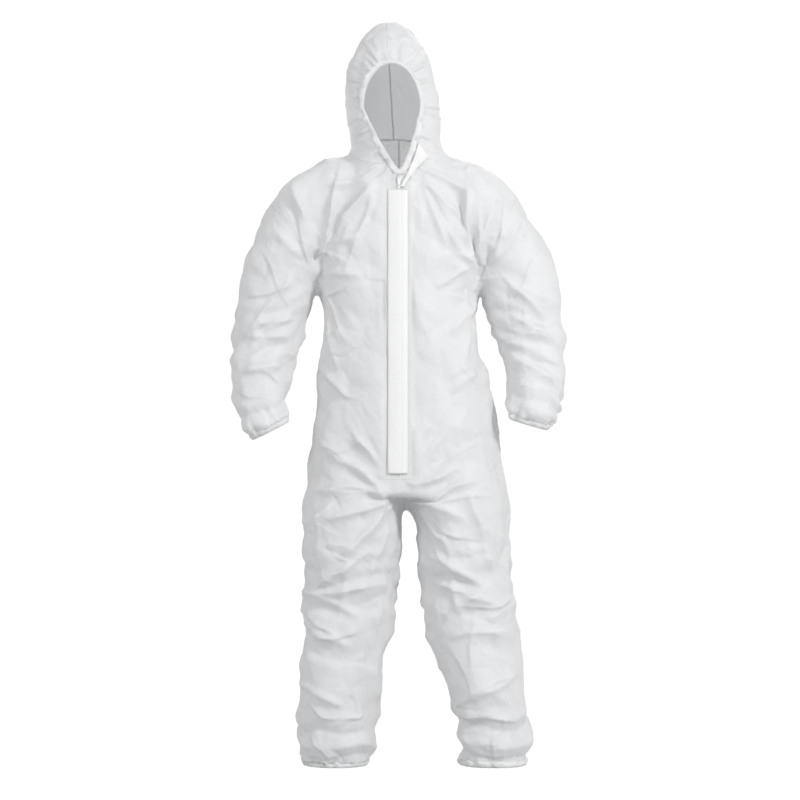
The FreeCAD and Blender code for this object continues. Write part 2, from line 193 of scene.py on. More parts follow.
LEG = {      # height, low x, high x, front y, back y
    LEFT: (
        (0.760, 0.030, 0.236, -0.112, 0.128),
        (0.655, 0.014, 0.262, -0.128, 0.130),
        (0.600, 0.029, 0.268, -0.124, 0.122),
        (0.539, 0.038, 0.273, -0.116, 0.112),
        (0.453, 0.046, 0.280, -0.108, 0.102),
        (0.367, 0.060, 0.285, -0.102, 0.096),
        (0.280, 0.078, 0.294, -0.102, 0.094),
        (0.194, 0.106, 0.305, -0.100, 0.090),
        (0.108, 0.134, 0.309, -0.097, 0.086),
        (0.055, 0.141, 0.311, -0.096, 0.084),
        (0.010, 0.148, 0.304, -0.086, 0.076),
    ),
    RIGHT: (
        (0.760, -0.196, 0.016, -0.112, 0.128),
        (0.655, -0.222, 0.010, -0.128, 0.130),
        (0.600, -0.228, 0.008, -0.124, 0.122),
        (0.539, -0.228, 0.010, -0.116, 0.112),
        (0.453, -0.222, 0.001, -0.108, 0.102),
        (0.367, -0.233, -0.012, -0.102, 0.096),
        (0.280, -0.232, -0.028, -0.102, 0.094),
        (0.194, -0.231, -0.040, -0.100, 0.090),
        (0.108, -0.234, -0.058, -0.097, 0.086),
        (0.055, -0.235, -0.068, -0.096, 0.084),
        (0.010, -0.226, -0.076, -0.086, 0.076),
    ),
}
CUFF_TILT = {LEFT: 0.30, RIGHT: 0.50}     # how far each cuff's mouth turns in towards the body
CUFF_RISE = {LEFT: 0.010, RIGHT: -0.006}
ANKLE_Z = 0.012


def sleeve_frames(side):
    """The sleeve's rings: centre, direction, the two directions across it and its two half sizes."""
    rows = smooth_rings(SLEEVE)
    centre = rows[:, :3] * [side, 1, 1]
    turn = smooth((0.90 - centre[:, 2]) / 0.08)
    centre[:, 2] += CUFF_RISE[side] * turn
    along = np.gradient(centre, axis=0)
    turn = turn[:, None]
    tilt = np.array([-side * CUFF_TILT[side], 0.06, -1.0])
    along /= np.linalg.norm(along, axis=1)[:, None]
    along = along * (1 - turn) + tilt / np.linalg.norm(tilt) * turn
    along /= np.linalg.norm(along, axis=1)[:, None]
    across = np.cross([0, 1.0, 0], along)
    across /= np.linalg.norm(across, axis=1)[:, None]
    depth = np.cross(along, across)
    return centre, along, across, depth, rows[:, 3], rows[:, 4]


# face opening: an oval above, a V down to the zip below
FACE_C, FACE_A, FACE_TOP, FACE_TIP = Vector((-0.017, 1.572)), 0.069, 0.108, Vector((0.001, 1.424))


def face_outline(t):
    """(x, z) on the rim, t from 0 to 1 round from the tip of the V, up the wearer's left and back."""
    angle = 2 * math.pi * t - math.pi / 2
    x, z = math.cos(angle), math.sin(angle)
    if z >= 0:
        return FACE_C.x + FACE_A * x, FACE_C.y + FACE_TOP * z
    drop = FACE_C.y - FACE_TIP.y
    k = abs(z) ** 1.25
    width = FACE_A * (1 - k) ** 0.75
    centre = FACE_C.x + (FACE_TIP.x - FACE_C.x) * k
    return centre + math.copysign(width, x), FACE_C.y - drop * k


RIM = np.array([face_outline(i / 400) for i in range(400)])


def inside_rim(x, z):
    """Whether points lie inside the face opening, by counting crossings."""
    inside = np.zeros(len(x), bool)
    for (x0, z0), (x1, z1) in zip(RIM, np.roll(RIM, -1, 0)):
        cross = (z0 > z) != (z1 > z)
        with np.errstate(divide="ignore", invalid="ignore"):
            at = x0 + (z - z0) * (x1 - x0) / (z1 - z0)
        inside ^= cross & (x < at)
    return inside


def build_garment():
    """One open cloth mesh of the whole suit on an even grid."""
    trunk = [(z, x0, x1, zip_y(z), back) for z, x0, x1, back in TORSO]
    parts = [upright_tube("t", trunk, 2.15), upright_tube("h", HOOD, 2.0)]
    for side, _ in SIDES:
        centre, along, across, depth, a, b = sleeve_frames(side)
        parts.append(tube("s", centre, across, depth, a, b))
        parts.append(upright_tube("l", LEG[side], 2.1))
    bpy.ops.object.select_all(action="DESELECT")
    for p in parts:
        p.select_set(True)
    bpy.context.view_layer.objects.active = parts[0]
    bpy.ops.object.join()
    obj = parts[0]
    obj.name = "garment"
    mod = obj.modifiers.new("r", "REMESH")
    mod.mode = "VOXEL"
    mod.voxel_size = VOXEL
    mod.use_smooth_shade = True
    bpy.ops.object.modifier_apply(modifier="r")
    mod = obj.modifiers.new("s", "CORRECTIVE_SMOOTH")
    mod.smooth_type = "SIMPLE"
    mod.iterations = 6
    mod.use_only_smooth = True
    bpy.ops.object.modifier_apply(modifier="s")
    co = coords(obj)
    bm = bmesh.new()
    bm.from_mesh(obj.data)
    bm.verts.ensure_lookup_table()
    gone = inside_rim(co[:, 0], co[:, 2]) & (co[:, 1] < -0.02)
    gone |= co[:, 2] < ANKLE_Z + 0.3 * VOXEL
    for side, _ in SIDES:
        centre, along, *_ = sleeve_frames(side)
        near = np.linalg.norm(co - centre[-1], axis=1) < 0.062
        gone |= ((co - centre[-1]) @ along[-1] > -0.3 * VOXEL) & near
    bmesh.ops.delete(bm, geom=[v for v, g in zip(bm.verts, gone) if g], context="VERTS")
    bmesh.ops.delete(bm, geom=[v for v in bm.verts if not v.link_faces], context="VERTS")
    lone = [v for v in bm.verts if v.is_boundary and len(v.link_faces) == 1 and len(v.link_edges) == 2]
    bmesh.ops.delete(bm, geom=lone, context="VERTS")
    bm.to_mesh(obj.data)
    bm.free()
    snap_openings(obj)
    return obj


def open_edges(polygons):
    """The edges of only one polygon, as pairs of vertex numbers."""
    count = {}
    for q in polygons:
        for a, b in zip(q, q[1:] + q[:1]):
            key = (min(a, b), max(a, b))
            count[key] = count.get(key, 0) + 1
    return [key for key, n in count.items() if n == 1]


def boundary(obj):
    """A mask of the vertices on an open edge."""
    mask = np.zeros(len(obj.data.vertices), bool)
    mask[np.ravel(open_edges([list(p.vertices) for p in obj.data.polygons]))] = True
    return mask


def snap_openings(obj):
    """Puts the open edges on their true curves."""
    co = coords(obj)
    edge = boundary(obj)
    face = edge & (co[:, 2] > 1.38) & (co[:, 1] < -0.01)
    for i in np.where(face)[0]:
        d = (RIM[:, 0] - co[i, 0]) ** 2 + (RIM[:, 1] - co[i, 2]) ** 2
        co[i, 0], co[i, 2] = RIM[int(d.argmin())]
    ankle = edge & (co[:, 2] < 0.1)
    co[ankle, 2] = ANKLE_Z
    for side, _ in SIDES:
        centre, along, *_ = sleeve_frames(side)
        cuff = edge & (np.linalg.norm(co - centre[-1], axis=1) < 0.07)
        off = (co[cuff] - centre[-1]) @ along[-1]
        co[cuff] -= off[:, None] * along[-1]
    set_coords(obj, co)


# ---------------------------------------------------------------- folds
def ridge(value, sharp=1.6):
    """A periodic fold with rounded valleys and sharper crests, from -1 to 1."""
    s = np.sin(value)
    return np.sign(s) * np.abs(s) ** sharp


def line_fold(co, a, b, width, sharp=1.3):
    """A single ridge, 1 high, from a to b in x, z, fading at both ends."""
    a, b = np.array(a, float), np.array(b, float)
    d = b - a
    length = np.linalg.norm(d)
    d /= length
    rel = co[:, [0, 2]] - a
    t = rel @ d / length
    off = rel @ np.array([-d[1], d[0]])
    fade = smooth(t / 0.25) * smooth((1 - t) / 0.35) * ((t > 0) & (t < 1))
    return fade * np.exp(-(np.abs(off) / width) ** sharp)


def arm_gap(z):
    """How far out the middle of the gap between body and sleeve is; above the armpit, the armhole."""
    return np.interp(z, (0.74, 0.79, 0.83, 0.885, 0.94, 1.00, 1.08, 1.165, 1.60),
                     (0.300, 0.258, 0.248, 0.241, 0.235, 0.215, 0.200, 0.195, 0.369))


def arm_share(co):
    """How far each point belongs to a sleeve, 0 to 1."""
    return smooth((np.abs(co[:, 0]) - arm_gap(co[:, 2]) + 0.004) / 0.014) * (co[:, 2] > 0.74)


def rest_shape(co):
    """The cloth laid out larger than worn, so that it folds: longer legs and sleeves, fuller all over."""
    out = co.copy()
    x, y, z = co.T
    arm = arm_share(co)
    hood = smooth((z - 1.47) / 0.05) * (np.abs(x) < 0.2)
    leg = smooth((0.70 - z) / 0.08) * (np.abs(x) < 0.35) * (1 - arm)

    def added(values, spans):
        """Extra length above each height: spans are (height, extra per metre below it)."""
        total = np.zeros_like(values)
        for (z0, k), (z1, _) in zip(spans, spans[1:] + [(-1.0, 0)]):
            total += k * (np.clip(z0 - values, 0, z0 - z1))
        return total

    out[:, 2] -= leg * added(z, [(0.70, 0.02), (0.52, 0.045), (0.32, 0.03), (0.17, 0.17)])
    out[:, 2] -= arm * added(z, [(1.30, 0.03), (1.10, 0.06), (0.98, 0.05), (0.90, 0.15)])
    body = (1 - arm) * (1 - leg)
    out[:, 2] -= body * (1 - hood) * (1.5 - z) * 0.022
    for side in (LEFT, RIGHT):
        rows = smooth_rings(SLEEVE)
        here = arm * (x * side > 0)
        cx = np.interp(-z, -rows[:, 2], rows[:, 0]) * side
        wide = 0.040 + 0.12 * smooth((0.87 - z) / 0.05)
        out[:, 0] += here * (x - cx) * wide
        out[:, 1] += here * y * wide
        legs = smooth_rings(LEG[side])
        mid = np.interp(-z, -legs[:, 0], (legs[:, 1] + legs[:, 2]) / 2)
        here = leg * ((x > 0.012) == (side == LEFT))
        wide = 0.045 + 0.05 * smooth((0.09 - z) / 0.06)
        out[:, 0] += here * (x - mid) * wide
        out[:, 1] += here * y * wide
    out[:, 0] += body * (1 - hood) * x * 0.035
    out[:, 1] += body * (1 - hood) * y * 0.035
    near = np.exp(-rim_distance(co) / 0.03) * hood
    out[:, 0] += hood * (x + 0.015) * (0.020 + 0.10 * near)
    out[:, 1] += hood * y * 0.020
    out[:, 2] += hood * (z - FACE_C.y) * (0.01 + 0.10 * near)
    return out


def rim_distance(co):
    """Distance from the face opening's rim, seen from the front; the back of the suit counts as far away."""
    apart = ((co[:, [0, 2]][:, None, :] - RIM[None, ::8, :]) ** 2).sum(2)
    return np.sqrt(apart.min(1)) + 0.2 * (co[:, 1] > 0)


def wave_noise(co, size, seed):
    """Smooth noise over the cloth, with waves of about twice the size."""
    off = Vector((seed * 7.13, seed * 3.71, seed * 5.37))
    return np.array([noise.noise(Vector(c) / size + off) for c in co])


def facets(co, size, stretch, seed):
    """Flat cells with sharp valleys between them, like crumpled paper; 0 in the valleys, about 1 inside."""
    p = co / (np.array(stretch) * size) + seed * 11.3
    warp = 0.25 * np.stack([wave_noise(co, size * 1.3, seed + k) for k in (1, 2, 3)], 1)
    out = np.empty(len(co))
    for i, v in enumerate(p + warp):
        d, _ = noise.voronoi(Vector(v))
        out[i] = d[1] - d[0]
    return np.minimum(out, 0.55) / 0.55


def crumple(co, size, seed):
    """Flat facets with sharp creases between them: random heights, joined linearly over tetrahedra."""
    rng = np.random.default_rng(seed)
    heights = rng.uniform(-1, 1, (32, 32, 32))
    turn, _ = np.linalg.qr(rng.normal(size=(3, 3)))
    warp = 0.30 * np.stack([wave_noise(co, size * 1.6, seed + k) for k in (1, 2, 3)], 1)
    spots = (co / size) @ turn + warp
    cell = np.floor(spots).astype(int)
    part = spots - cell
    order = np.argsort(-part, axis=1)
    shares = -np.diff(np.take_along_axis(part, order, 1), axis=1, prepend=1.0, append=0.0)
    rows = np.arange(len(co))
    total = np.zeros(len(co))
    for k in range(4):
        total += shares[:, k] * heights[tuple((cell % 32).T)]
        if k < 3:
            cell[rows, order[:, k]] += 1
    return total


FRONT_FOLDS = (   # from x, z to x, z, width, height: mirrored to both sides
    ((0.020, 0.675), (0.150, 0.735), 0.009, 1.2), ((0.020, 0.665), (0.200, 0.672), 0.009, 1.2),
    ((0.018, 0.650), (0.190, 0.600), 0.010, 1.2), ((0.020, 0.700), (0.120, 0.810), 0.010, 0.9),
    ((0.024, 0.640), (0.130, 0.530), 0.010, 1.1), ((0.050, 0.690), (0.220, 0.780), 0.011, 0.8),
    ((0.035, 0.600), (0.085, 0.450), 0.009, 0.9), ((0.150, 0.650), (0.235, 0.560), 0.010, 0.8),
    ((0.035, 1.405), (0.165, 1.285), 0.010, 1.2), ((0.035, 1.390), (0.120, 1.230), 0.009, 0.9),
    ((0.030, 1.420), (0.190, 1.365), 0.010, 1.0), ((0.190, 1.200), (0.090, 1.300), 0.011, 1.1),
    ((0.190, 1.180), (0.075, 1.170), 0.010, 0.8), ((0.183, 1.200), (0.150, 1.400), 0.012, 1.6),
    ((0.255, 1.395), (0.188, 1.205), 0.012, 1.4), ((0.300, 1.320), (0.215, 1.190), 0.011, 1.0),
    ((0.190, 1.150), (0.120, 1.010), 0.012, 1.0), ((0.185, 1.120), (0.150, 0.930), 0.010, 0.8),
    ((0.200, 0.960), (0.110, 0.880), 0.010, 0.7), ((0.100, 0.600), (0.160, 0.340), 0.012, 0.8),
    ((0.180, 0.660), (0.240, 0.420), 0.012, 0.8), ((0.060, 0.530), (0.220, 0.435), 0.010, 1.1),
    ((0.070, 0.450), (0.250, 0.400), 0.010, 1.1), ((0.080, 0.350), (0.240, 0.440), 0.010, 1.0),
    ((0.100, 0.300), (0.260, 0.360), 0.010, 0.8), ((0.120, 0.160), (0.300, 0.230), 0.010, 0.9),
    ((0.240, 1.180), (0.370, 1.060), 0.010, 1.1), ((0.250, 1.090), (0.380, 1.020), 0.010, 1.1),
    ((0.250, 1.010), (0.385, 1.060), 0.010, 0.9), ((0.265, 0.980), (0.390, 0.930), 0.010, 0.9),
)


def first_folds(co, nrm):
    """Shallow starting folds, which the cloth solver deepens: where it buckles and which way."""
    x, y, z = co.T
    arm = arm_share(co)
    leg = smooth((0.64 - z) / 0.05) * (1 - arm)
    stack = 1.1 + 0.5 * (x > 0.04)        # the wearer's left ankle bunches more
    ax = np.abs(x)
    h = 0.0040 * wave_noise(co, 0.11, 1) + 0.004 * (facets(co, 0.110, (1, 1, 1.6), 2) - 0.6)
    wob = 0.045 * wave_noise(co, 0.12, 3)
    slant = 0.30 * wave_noise(co, 0.30, 4)
    ring_leg = ridge(2 * math.pi * (z + wob + slant * (x - np.sign(x) * 0.16)) / 0.058)
    knee, ankle = np.exp(-((z - 0.42) / 0.08) ** 2), smooth((0.17 - z) / 0.08)
    h += leg * 0.006 * ring_leg * (0.05 + 0.35 * knee + 0.65 * stack * ankle)
    ring_arm = ridge(2 * math.pi * (z + wob + (slant + 0.25) * (ax - 0.31)) / 0.055)
    elbow, cuff = np.exp(-((z - 1.02) / 0.08) ** 2), smooth((0.92 - z) / 0.06)
    h += arm * 0.005 * ring_arm * (0.08 + 0.5 * elbow + 0.7 * cuff)
    front = smooth(-y / 0.05)
    back = smooth(y / 0.05)
    warped = co + 0.020 * np.stack([wave_noise(co, 0.11, 31), 0 * x, wave_noise(co, 0.11, 32)], 1)
    f = np.zeros(len(co))
    for s in (LEFT, RIGHT):
        for i, (a, b, w, k) in enumerate(FRONT_FOLDS):
            drift = 0.018 * math.sin(3.7 * i + s)      # the two sides do not crease alike
            f += 0.010 * k * line_fold(warped, (a[0] * s, a[1] + drift), (b[0] * s, b[1] - drift), w)
    h += f * np.maximum(front, 0.8 * back)
    strip = smooth((ax - 0.028) / 0.05)
    h *= np.where((y < 0) & (z > 0.69) & (z < 1.43), strip, 1.0)
    return co + nrm * h[:, None]


def hold_weights(obj, co):
    """How firmly each point keeps its place while the cloth settles."""
    x, y, z = co.T
    ax = np.abs(x)
    w = np.zeros(len(co))
    w[boundary(obj)] = 1.0
    rim = (y < -0.02) & (z > 1.40)
    w = np.maximum(w, np.where(rim & (rim_distance(co) < 0.007), 1.0, 0.0))
    zip_strip = (y < -0.05) & (z > 0.69) & (z < 1.44)
    w = np.maximum(w, np.where(zip_strip, 1 - smooth((ax - 0.024) / 0.02), 0.0))
    w = np.maximum(w, np.where(z < ANKLE_Z + 0.010, 1.0, 0.0))
    for side, _ in SIDES:
        centre, along, *_ = sleeve_frames(side)
        d = -((co - centre[-1]) @ along[-1])
        near = np.linalg.norm(co - centre[-1], axis=1) < 0.07
        w = np.maximum(w, np.where((d < 0.012) & near, 1.0, 0.0))
    w = np.maximum(w, 0.35 * smooth((z - 1.36) / 0.05) * (z < 1.5))
    w = np.maximum(w, 0.04)
    return w


CLOTH = {
    "quality": 5, "mass": 0.12,
    "tension_stiffness": 30, "compression_stiffness": 30, "shear_stiffness": 12, "bending_stiffness": 0.08,
    "tension_damping": 6, "compression_damping": 6, "shear_damping": 5, "bending_damping": 0.6,
    "air_damping": 3, "vertex_group_mass": "hold", "pin_stiffness": 0.8,
    "use_pressure": True, "uniform_pressure_force": 0.8,
}


def simulate(obj, frames=22):
    """Cloth larger than its worn shape, held at its openings and along the zip, buckles into folds."""
    co = coords(obj)
    nrm = vertex_normals(obj)
    rest = rest_shape(co)
    hold = hold_weights(obj, co)
    start = first_folds(co, nrm)
    start = np.where((hold > 0.99)[:, None], co, start)
    obj.shape_key_add(name="Basis")
    key = obj.shape_key_add(name="Rest")
    key.data.foreach_set("co", rest.ravel())
    key.value = 0.0
    obj.data.shape_keys.key_blocks["Basis"].data.foreach_set("co", start.ravel())
    set_coords(obj, start)
    group = obj.vertex_groups.new(name="hold")
    for level in np.unique(np.round(hold, 2)):
        ids = np.where(np.round(hold, 2) == level)[0]
        group.add([int(i) for i in ids], float(level), "REPLACE")
    mod = obj.modifiers.new("cloth", "CLOTH")
    for setting, value in CLOTH.items():
        setattr(mod.settings, setting, value)
    mod.settings.rest_shape_key = key
    mod.settings.effector_weights.gravity = 0.0
    mod.collision_settings.use_collision = False
    mod.collision_settings.use_self_collision = False
    mod.point_cache.frame_start = 1
    mod.point_cache.frame_end = frames
    scene = bpy.context.scene
    for f in range(1, frames + 1):
        scene.frame_set(f)
    deps = bpy.context.evaluated_depsgraph_get()
    out = coords(obj.evaluated_get(deps))
    obj.modifiers.remove(mod)
    obj.shape_key_clear()
    scene.frame_set(1)
    return co, crisp(obj, co, co + limited(out - co, 0.030), hold)


def limited(shift, most):
    """Shifts cut down to a longest length."""
    size = np.linalg.norm(shift, axis=1, keepdims=True)
    return shift * np.minimum(1, most / np.maximum(size, 1e-9))


def neighbour_mean(obj, values, rounds):
    """Values averaged over each point's neighbours, so many rounds."""
    edges = np.empty(len(obj.data.edges) * 2, np.int64)
    obj.data.edges.foreach_get("vertices", edges)
    a, b = edges[::2], edges[1::2]
    count = np.bincount(a, minlength=len(values)) + np.bincount(b, minlength=len(values))
    for _ in range(rounds):
        total = np.zeros_like(values)
        for k in range(values.shape[1]):
            total[:, k] = np.bincount(a, values[b, k], len(values))
            total[:, k] += np.bincount(b, values[a, k], len(values))
        values = 0.5 * values + 0.5 * total / count[:, None]
    return values


def looseness(hold):
    """How far a point may crease, from 1 where the cloth is free to 0 where it is held."""
    return (1 - smooth((hold - 0.1) / 0.8))[:, None]


def crisp(obj, co, out, hold):
    """Sharpens the settled folds, as stiff non-woven cloth has them."""
    detail = out - neighbour_mean(obj, out, 10) - (co - neighbour_mean(obj, co, 10))
    return out + looseness(hold) * 0.7 * limited(detail, 0.006)


def refine(obj, co, out):
    """The unfolded and the settled cloth on a finer grid, with facets, sharp creases and gathers added."""
    deps = bpy.context.evaluated_depsgraph_get
    fine, mesh = [], None
    for kind, points in (("SIMPLE", co), ("CATMULL_CLARK", out)):
        set_coords(obj, points)
        mod = obj.modifiers.new("fine", "SUBSURF")
        mod.subdivision_type = kind
        mod.levels = 1
        mesh = bpy.data.meshes.new_from_object(obj.evaluated_get(deps()))
        obj.modifiers.remove(mod)
        points = np.empty(len(mesh.vertices) * 3)
        mesh.vertices.foreach_get("co", points)
        fine.append(points.reshape(-1, 3))
    obj.data = mesh
    co, out = fine
    set_coords(obj, co)
    nrm = vertex_normals(obj)
    paper = sum(height * crumple(co, size, seed) for size, height, seed in PAPER)
    paper *= 1.0 + 0.3 * smooth((0.70 - co[:, 2]) / 0.10) - 0.6 * smooth((co[:, 2] - 1.44) / 0.06)
    lift = paper + sharp_creases(co, nrm)
    return co, out + looseness(hold_weights(obj, co)) * nrm * lift[:, None] + gathers(co, nrm)


PAPER = ((0.125, 0.0085, 41), (0.060, 0.0058, 46), (0.028, 0.0018, 51))    # facet size, height, random seed
SHARP = (   # knife-edged creases, front and back: from x, z to x, z, reach of the gentle side, height
    ((0.006, 0.653), (-0.169, 0.598), 0.030, 0.0060), ((0.006, 0.650), (-0.123, 0.543), 0.034, 0.0060),
    ((-0.010, 0.668), (-0.215, 0.668), 0.026, 0.0055), ((-0.010, 0.682), (-0.150, 0.745), 0.026, -0.0045),
    ((-0.234, 0.375), (-0.141, 0.321), 0.030, 0.0070), ((-0.206, 0.312), (-0.100, 0.325), 0.026, 0.0085),
    ((-0.224, 0.284), (-0.049, 0.247), 0.045, -0.0060), ((-0.215, 0.430), (-0.120, 0.480), 0.030, 0.0060),
    ((-0.004, 0.560), (-0.060, 0.260), 0.050, -0.0045), ((-0.200, 0.640), (-0.175, 0.440), 0.040, 0.0045),
    ((-0.230, 0.160), (-0.140, 0.118), 0.035, 0.0090), ((-0.140, 0.120), (-0.070, 0.135), 0.035, 0.0090),
    ((-0.215, 0.090), (-0.160, 0.020), 0.030, 0.0060), ((-0.190, 0.530), (-0.080, 0.500), 0.030, -0.0045),
    ((0.024, 0.640), (0.235, 0.655), 0.028, 0.0060), ((0.035, 0.610), (0.200, 0.533), 0.036, 0.0060),
    ((0.040, 0.560), (0.180, 0.440), 0.045, 0.0050), ((0.150, 0.386), (0.290, 0.400), 0.030, 0.0090),
    ((0.140, 0.372), (0.280, 0.340), 0.034, -0.0060), ((0.172, 0.390), (0.168, 0.240), 0.040, 0.0045),
    ((0.120, 0.300), (0.200, 0.150), 0.045, 0.0045), ((0.130, 0.128), (0.295, 0.120), 0.045, 0.0110),
    ((0.160, 0.190), (0.300, 0.235), 0.030, 0.0060), ((0.230, 0.100), (0.215, 0.020), 0.030, 0.0055),
    ((0.240, 0.600), (0.210, 0.450), 0.040, -0.0040), ((0.060, 0.480), (0.170, 0.470), 0.030, 0.0045),
    ((-0.235, 1.390), (-0.190, 1.150), 0.045, -0.0100), ((-0.250, 1.380), (-0.210, 1.180), 0.020, 0.0080),
    ((0.240, 1.390), (0.190, 1.160), 0.040, -0.0080), ((0.262, 1.370), (0.215, 1.190), 0.022, 0.0060),
    ((-0.140, 1.450), (-0.206, 1.160), 0.045, 0.0110), ((0.212, 1.170), (0.165, 1.440), 0.045, 0.0100),
    ((-0.060, 1.395), (-0.175, 1.260), 0.050, 0.0055), ((-0.045, 1.350), (-0.140, 1.180), 0.050, 0.0040),
    ((0.060, 1.395), (0.160, 1.250), 0.050, 0.0045), ((-0.185, 1.120), (-0.080, 1.180), 0.045, 0.0090),
    ((-0.190, 1.100), (-0.120, 1.020), 0.040, -0.0060), ((0.188, 1.130), (0.150, 0.960), 0.035, -0.0070),
    ((0.195, 0.990), (0.110, 0.930), 0.030, 0.0050), ((-0.200, 0.930), (-0.090, 0.880), 0.035, 0.0050),
    ((-0.205, 0.780), (-0.100, 0.740), 0.028, 0.0060), ((-0.190, 0.740), (-0.060, 0.790), 0.028, 0.0045),
    ((0.225, 0.790), (0.110, 0.740), 0.028, 0.0050), ((0.060, 0.720), (0.200, 0.770), 0.028, -0.0045),
    ((-0.380, 1.120), (-0.250, 1.150), 0.040, 0.0070), ((-0.390, 1.035), (-0.245, 1.085), 0.032, 0.0080),
    ((-0.395, 0.990), (-0.280, 1.010), 0.030, -0.0060), ((-0.370, 0.960), (-0.270, 0.930), 0.032, 0.0060),
    ((-0.390, 0.900), (-0.300, 0.880), 0.030, 0.0050), ((-0.330, 1.240), (-0.250, 1.080), 0.045, 0.0045),
    ((0.385, 1.110), (0.250, 1.160), 0.040, 0.0070), ((0.395, 1.010), (0.260, 1.060), 0.032, 0.0080),
    ((0.395, 0.960), (0.280, 0.985), 0.030, -0.0055), ((0.390, 0.900), (0.280, 0.920), 0.030, 0.0060),
    ((0.340, 1.250), (0.260, 1.090), 0.045, 0.0045), ((0.370, 0.870), (0.290, 0.860), 0.026, 0.0050),
)


def sharp_creases(co, nrm):
    """Lift for the knife-edged creases: each rises gently on one side and drops at once on the other."""
    rng = np.random.default_rng(7)
    lift = np.zeros(len(co))

    def crease(centre, normal, way, half, reach, height):
        rel = co - centre
        near = np.where((np.abs(rel).max(1) < half + 0.03) & (nrm @ normal > 0.15))[0]
        way = way - normal * (way @ normal)
        way = way / np.linalg.norm(way)
        along = rel[near] @ way / half
        bow, wob = rng.normal(0, 0.10), rng.uniform(0, 6)
        off = rel[near] @ np.cross(normal, way) + half * bow * along ** 2 + 0.004 * np.sin(4 * along + wob)
        side = np.where(off > 0, np.exp(-off / reach), np.exp(off / 0.0030))
        lift[near] += height * side * smooth((1 - np.abs(along)) / 0.55)

    for face in (-1, 1):
        facing = np.where(nrm[:, 1] * face > 0.15)[0]
        spots = co[facing][:, [0, 2]]
        for a, b, reach, height in SHARP:
            a, b = np.array(a, float), np.array(b, float)
            if face == 1:      # the back creases alike, but not in the same places
                a = a * [-1, 1] + rng.normal(0, 0.014, 2)
                b = b * [-1, 1] + rng.normal(0, 0.014, 2)
            mid = (a + b) / 2
            at = facing[((spots - mid) ** 2).sum(1).argmin()]
            way, half = np.array([b[0] - a[0], 0, b[1] - a[1]]), np.linalg.norm(b - a) / 2 * 1.1
            crease(co[at], nrm[at], way, half, reach, height)
    for _ in range(260):
        at = rng.integers(len(co))
        flat = np.cross(nrm[at], [0, 0, 1.0])
        if np.linalg.norm(flat) < 0.2:
            continue
        slant = rng.normal(0.45, 0.35) * rng.choice([-1, 1])
        way = flat * math.cos(slant) + np.array([0, 0, 1.0]) * math.sin(slant)
        height = rng.uniform(0.0012, 0.0036) * rng.choice([1, 1, -1])
        crease(co[at], nrm[at], way, rng.uniform(0.025, 0.085), rng.uniform(0.010, 0.030), height)
    return lift


def gathers(co, nrm):
    """Small folds that run out from the elastic of the face opening, the cuffs and the ankles."""
    x, y, z = co.T
    lift = np.zeros(len(co))

    def pleats(run, distance, height, reach, pitch, seed):
        fold = np.array([noise.noise(Vector((r / pitch, seed, d / 0.06))) for r, d in zip(run, distance)])
        fade = smooth(distance / 0.006) * np.exp(-np.maximum(distance, 0) / reach)
        return height * np.clip(3.2 * fold, -1, 1) * fade

    near = np.where((y < 0.0) & (z > 1.40) & (np.abs(x) < 0.15) & (rim_distance(co) < 0.10))[0]
    apart = ((co[near][:, None, [0, 2]] - RIM[None, ::4]) ** 2).sum(2)
    step = np.linalg.norm(np.diff(RIM[::4], axis=0), axis=1)
    run = np.concatenate([[0], np.cumsum(step)])[apart.argmin(1)]
    lift[near] += pleats(run, np.sqrt(apart.min(1)), 0.0042, 0.042, 0.0075, 3.3)
    for side, _ in SIDES:
        centre, along, across, depth, *_ = sleeve_frames(side)
        near = np.where(np.linalg.norm(co - centre[-1], axis=1) < 0.13)[0]
        near = near[arm_share(co[near]) > 0.5]
        rel = co[near] - centre[-1]
        turn = np.arctan2(rel @ depth[-1], rel @ across[-1])
        lift[near] += pleats(turn * 0.04, -(rel @ along[-1]), 0.0055, 0.030, 0.013, 5.1 + side)
        near = np.where((z < 0.16) & ((x > 0.04) == (side == LEFT)))[0]
        mid = 0.226 if side == LEFT else -0.151
        turn = np.arctan2(y[near], x[near] - mid)
        lift[near] += pleats(turn * 0.08, z[near] - ANKLE_Z, 0.0040, 0.035, 0.022, 8.4 + side)
    return nrm * lift[:, None]


# ---------------------------------------------------------------- the crumpled suit
garment = build_garment()
CO, OUT = refine(garment, *simulate(garment))
set_coords(garment, OUT)
NRM = vertex_normals(garment)
FACES = [tuple(p.vertices) + (p.vertices[-1],) * (4 - len(p.vertices)) for p in garment.data.polygons]
FACES = np.array(FACES)       # a triangle has its last corner twice
MID = OUT[FACES].mean(1)
SKIN = BVHTree.FromPolygons([Vector(v) for v in OUT], [tuple(dict.fromkeys(f)) for f in FACES.tolist()])


# ---------------------------------------------------------------- where the cloth bends
def bend(a, b, start, direction, length):
    """The bend between body a and body b: a first plane at start, facing along direction, and a second plane
    length further on.
    """
    d = np.array(direction, float)
    return a, b, np.array(start, float), d / np.linalg.norm(d), length


ELBOW_Z, KNEE_Z = 1.100, 0.480
HOOD_BEND = bend("torso", "hood", (0, 0, 1.480), (0, -0.36, 1), 0.160)
SHOULDER_BEND, ELBOW_BEND, HIP_BEND, KNEE_BEND = {}, {}, {}, {}
for side, name in SIDES:
    SHOULDER_BEND[side] = bend("torso", name + "_upper_sleeve", (0.195 * side, 0, 1.165),
                               (0.9205 * side, 0, -0.3907), 0.042)
    ELBOW_BEND[side] = bend(name + "_upper_sleeve", name + "_lower_sleeve", (0, 0, ELBOW_Z),
                            (0, 0, -1), 0.150)
    HIP_BEND[side] = bend("torso", name + "_upper_leg", (0.048 if side == LEFT else -0.020, 0, 0.650),
                          (0.79 * side, 0, -0.61), 0.085)
    KNEE_BEND[side] = bend(name + "_upper_leg", name + "_lower_leg", (0, 0, KNEE_Z), (0, 0, -1), 0.135)


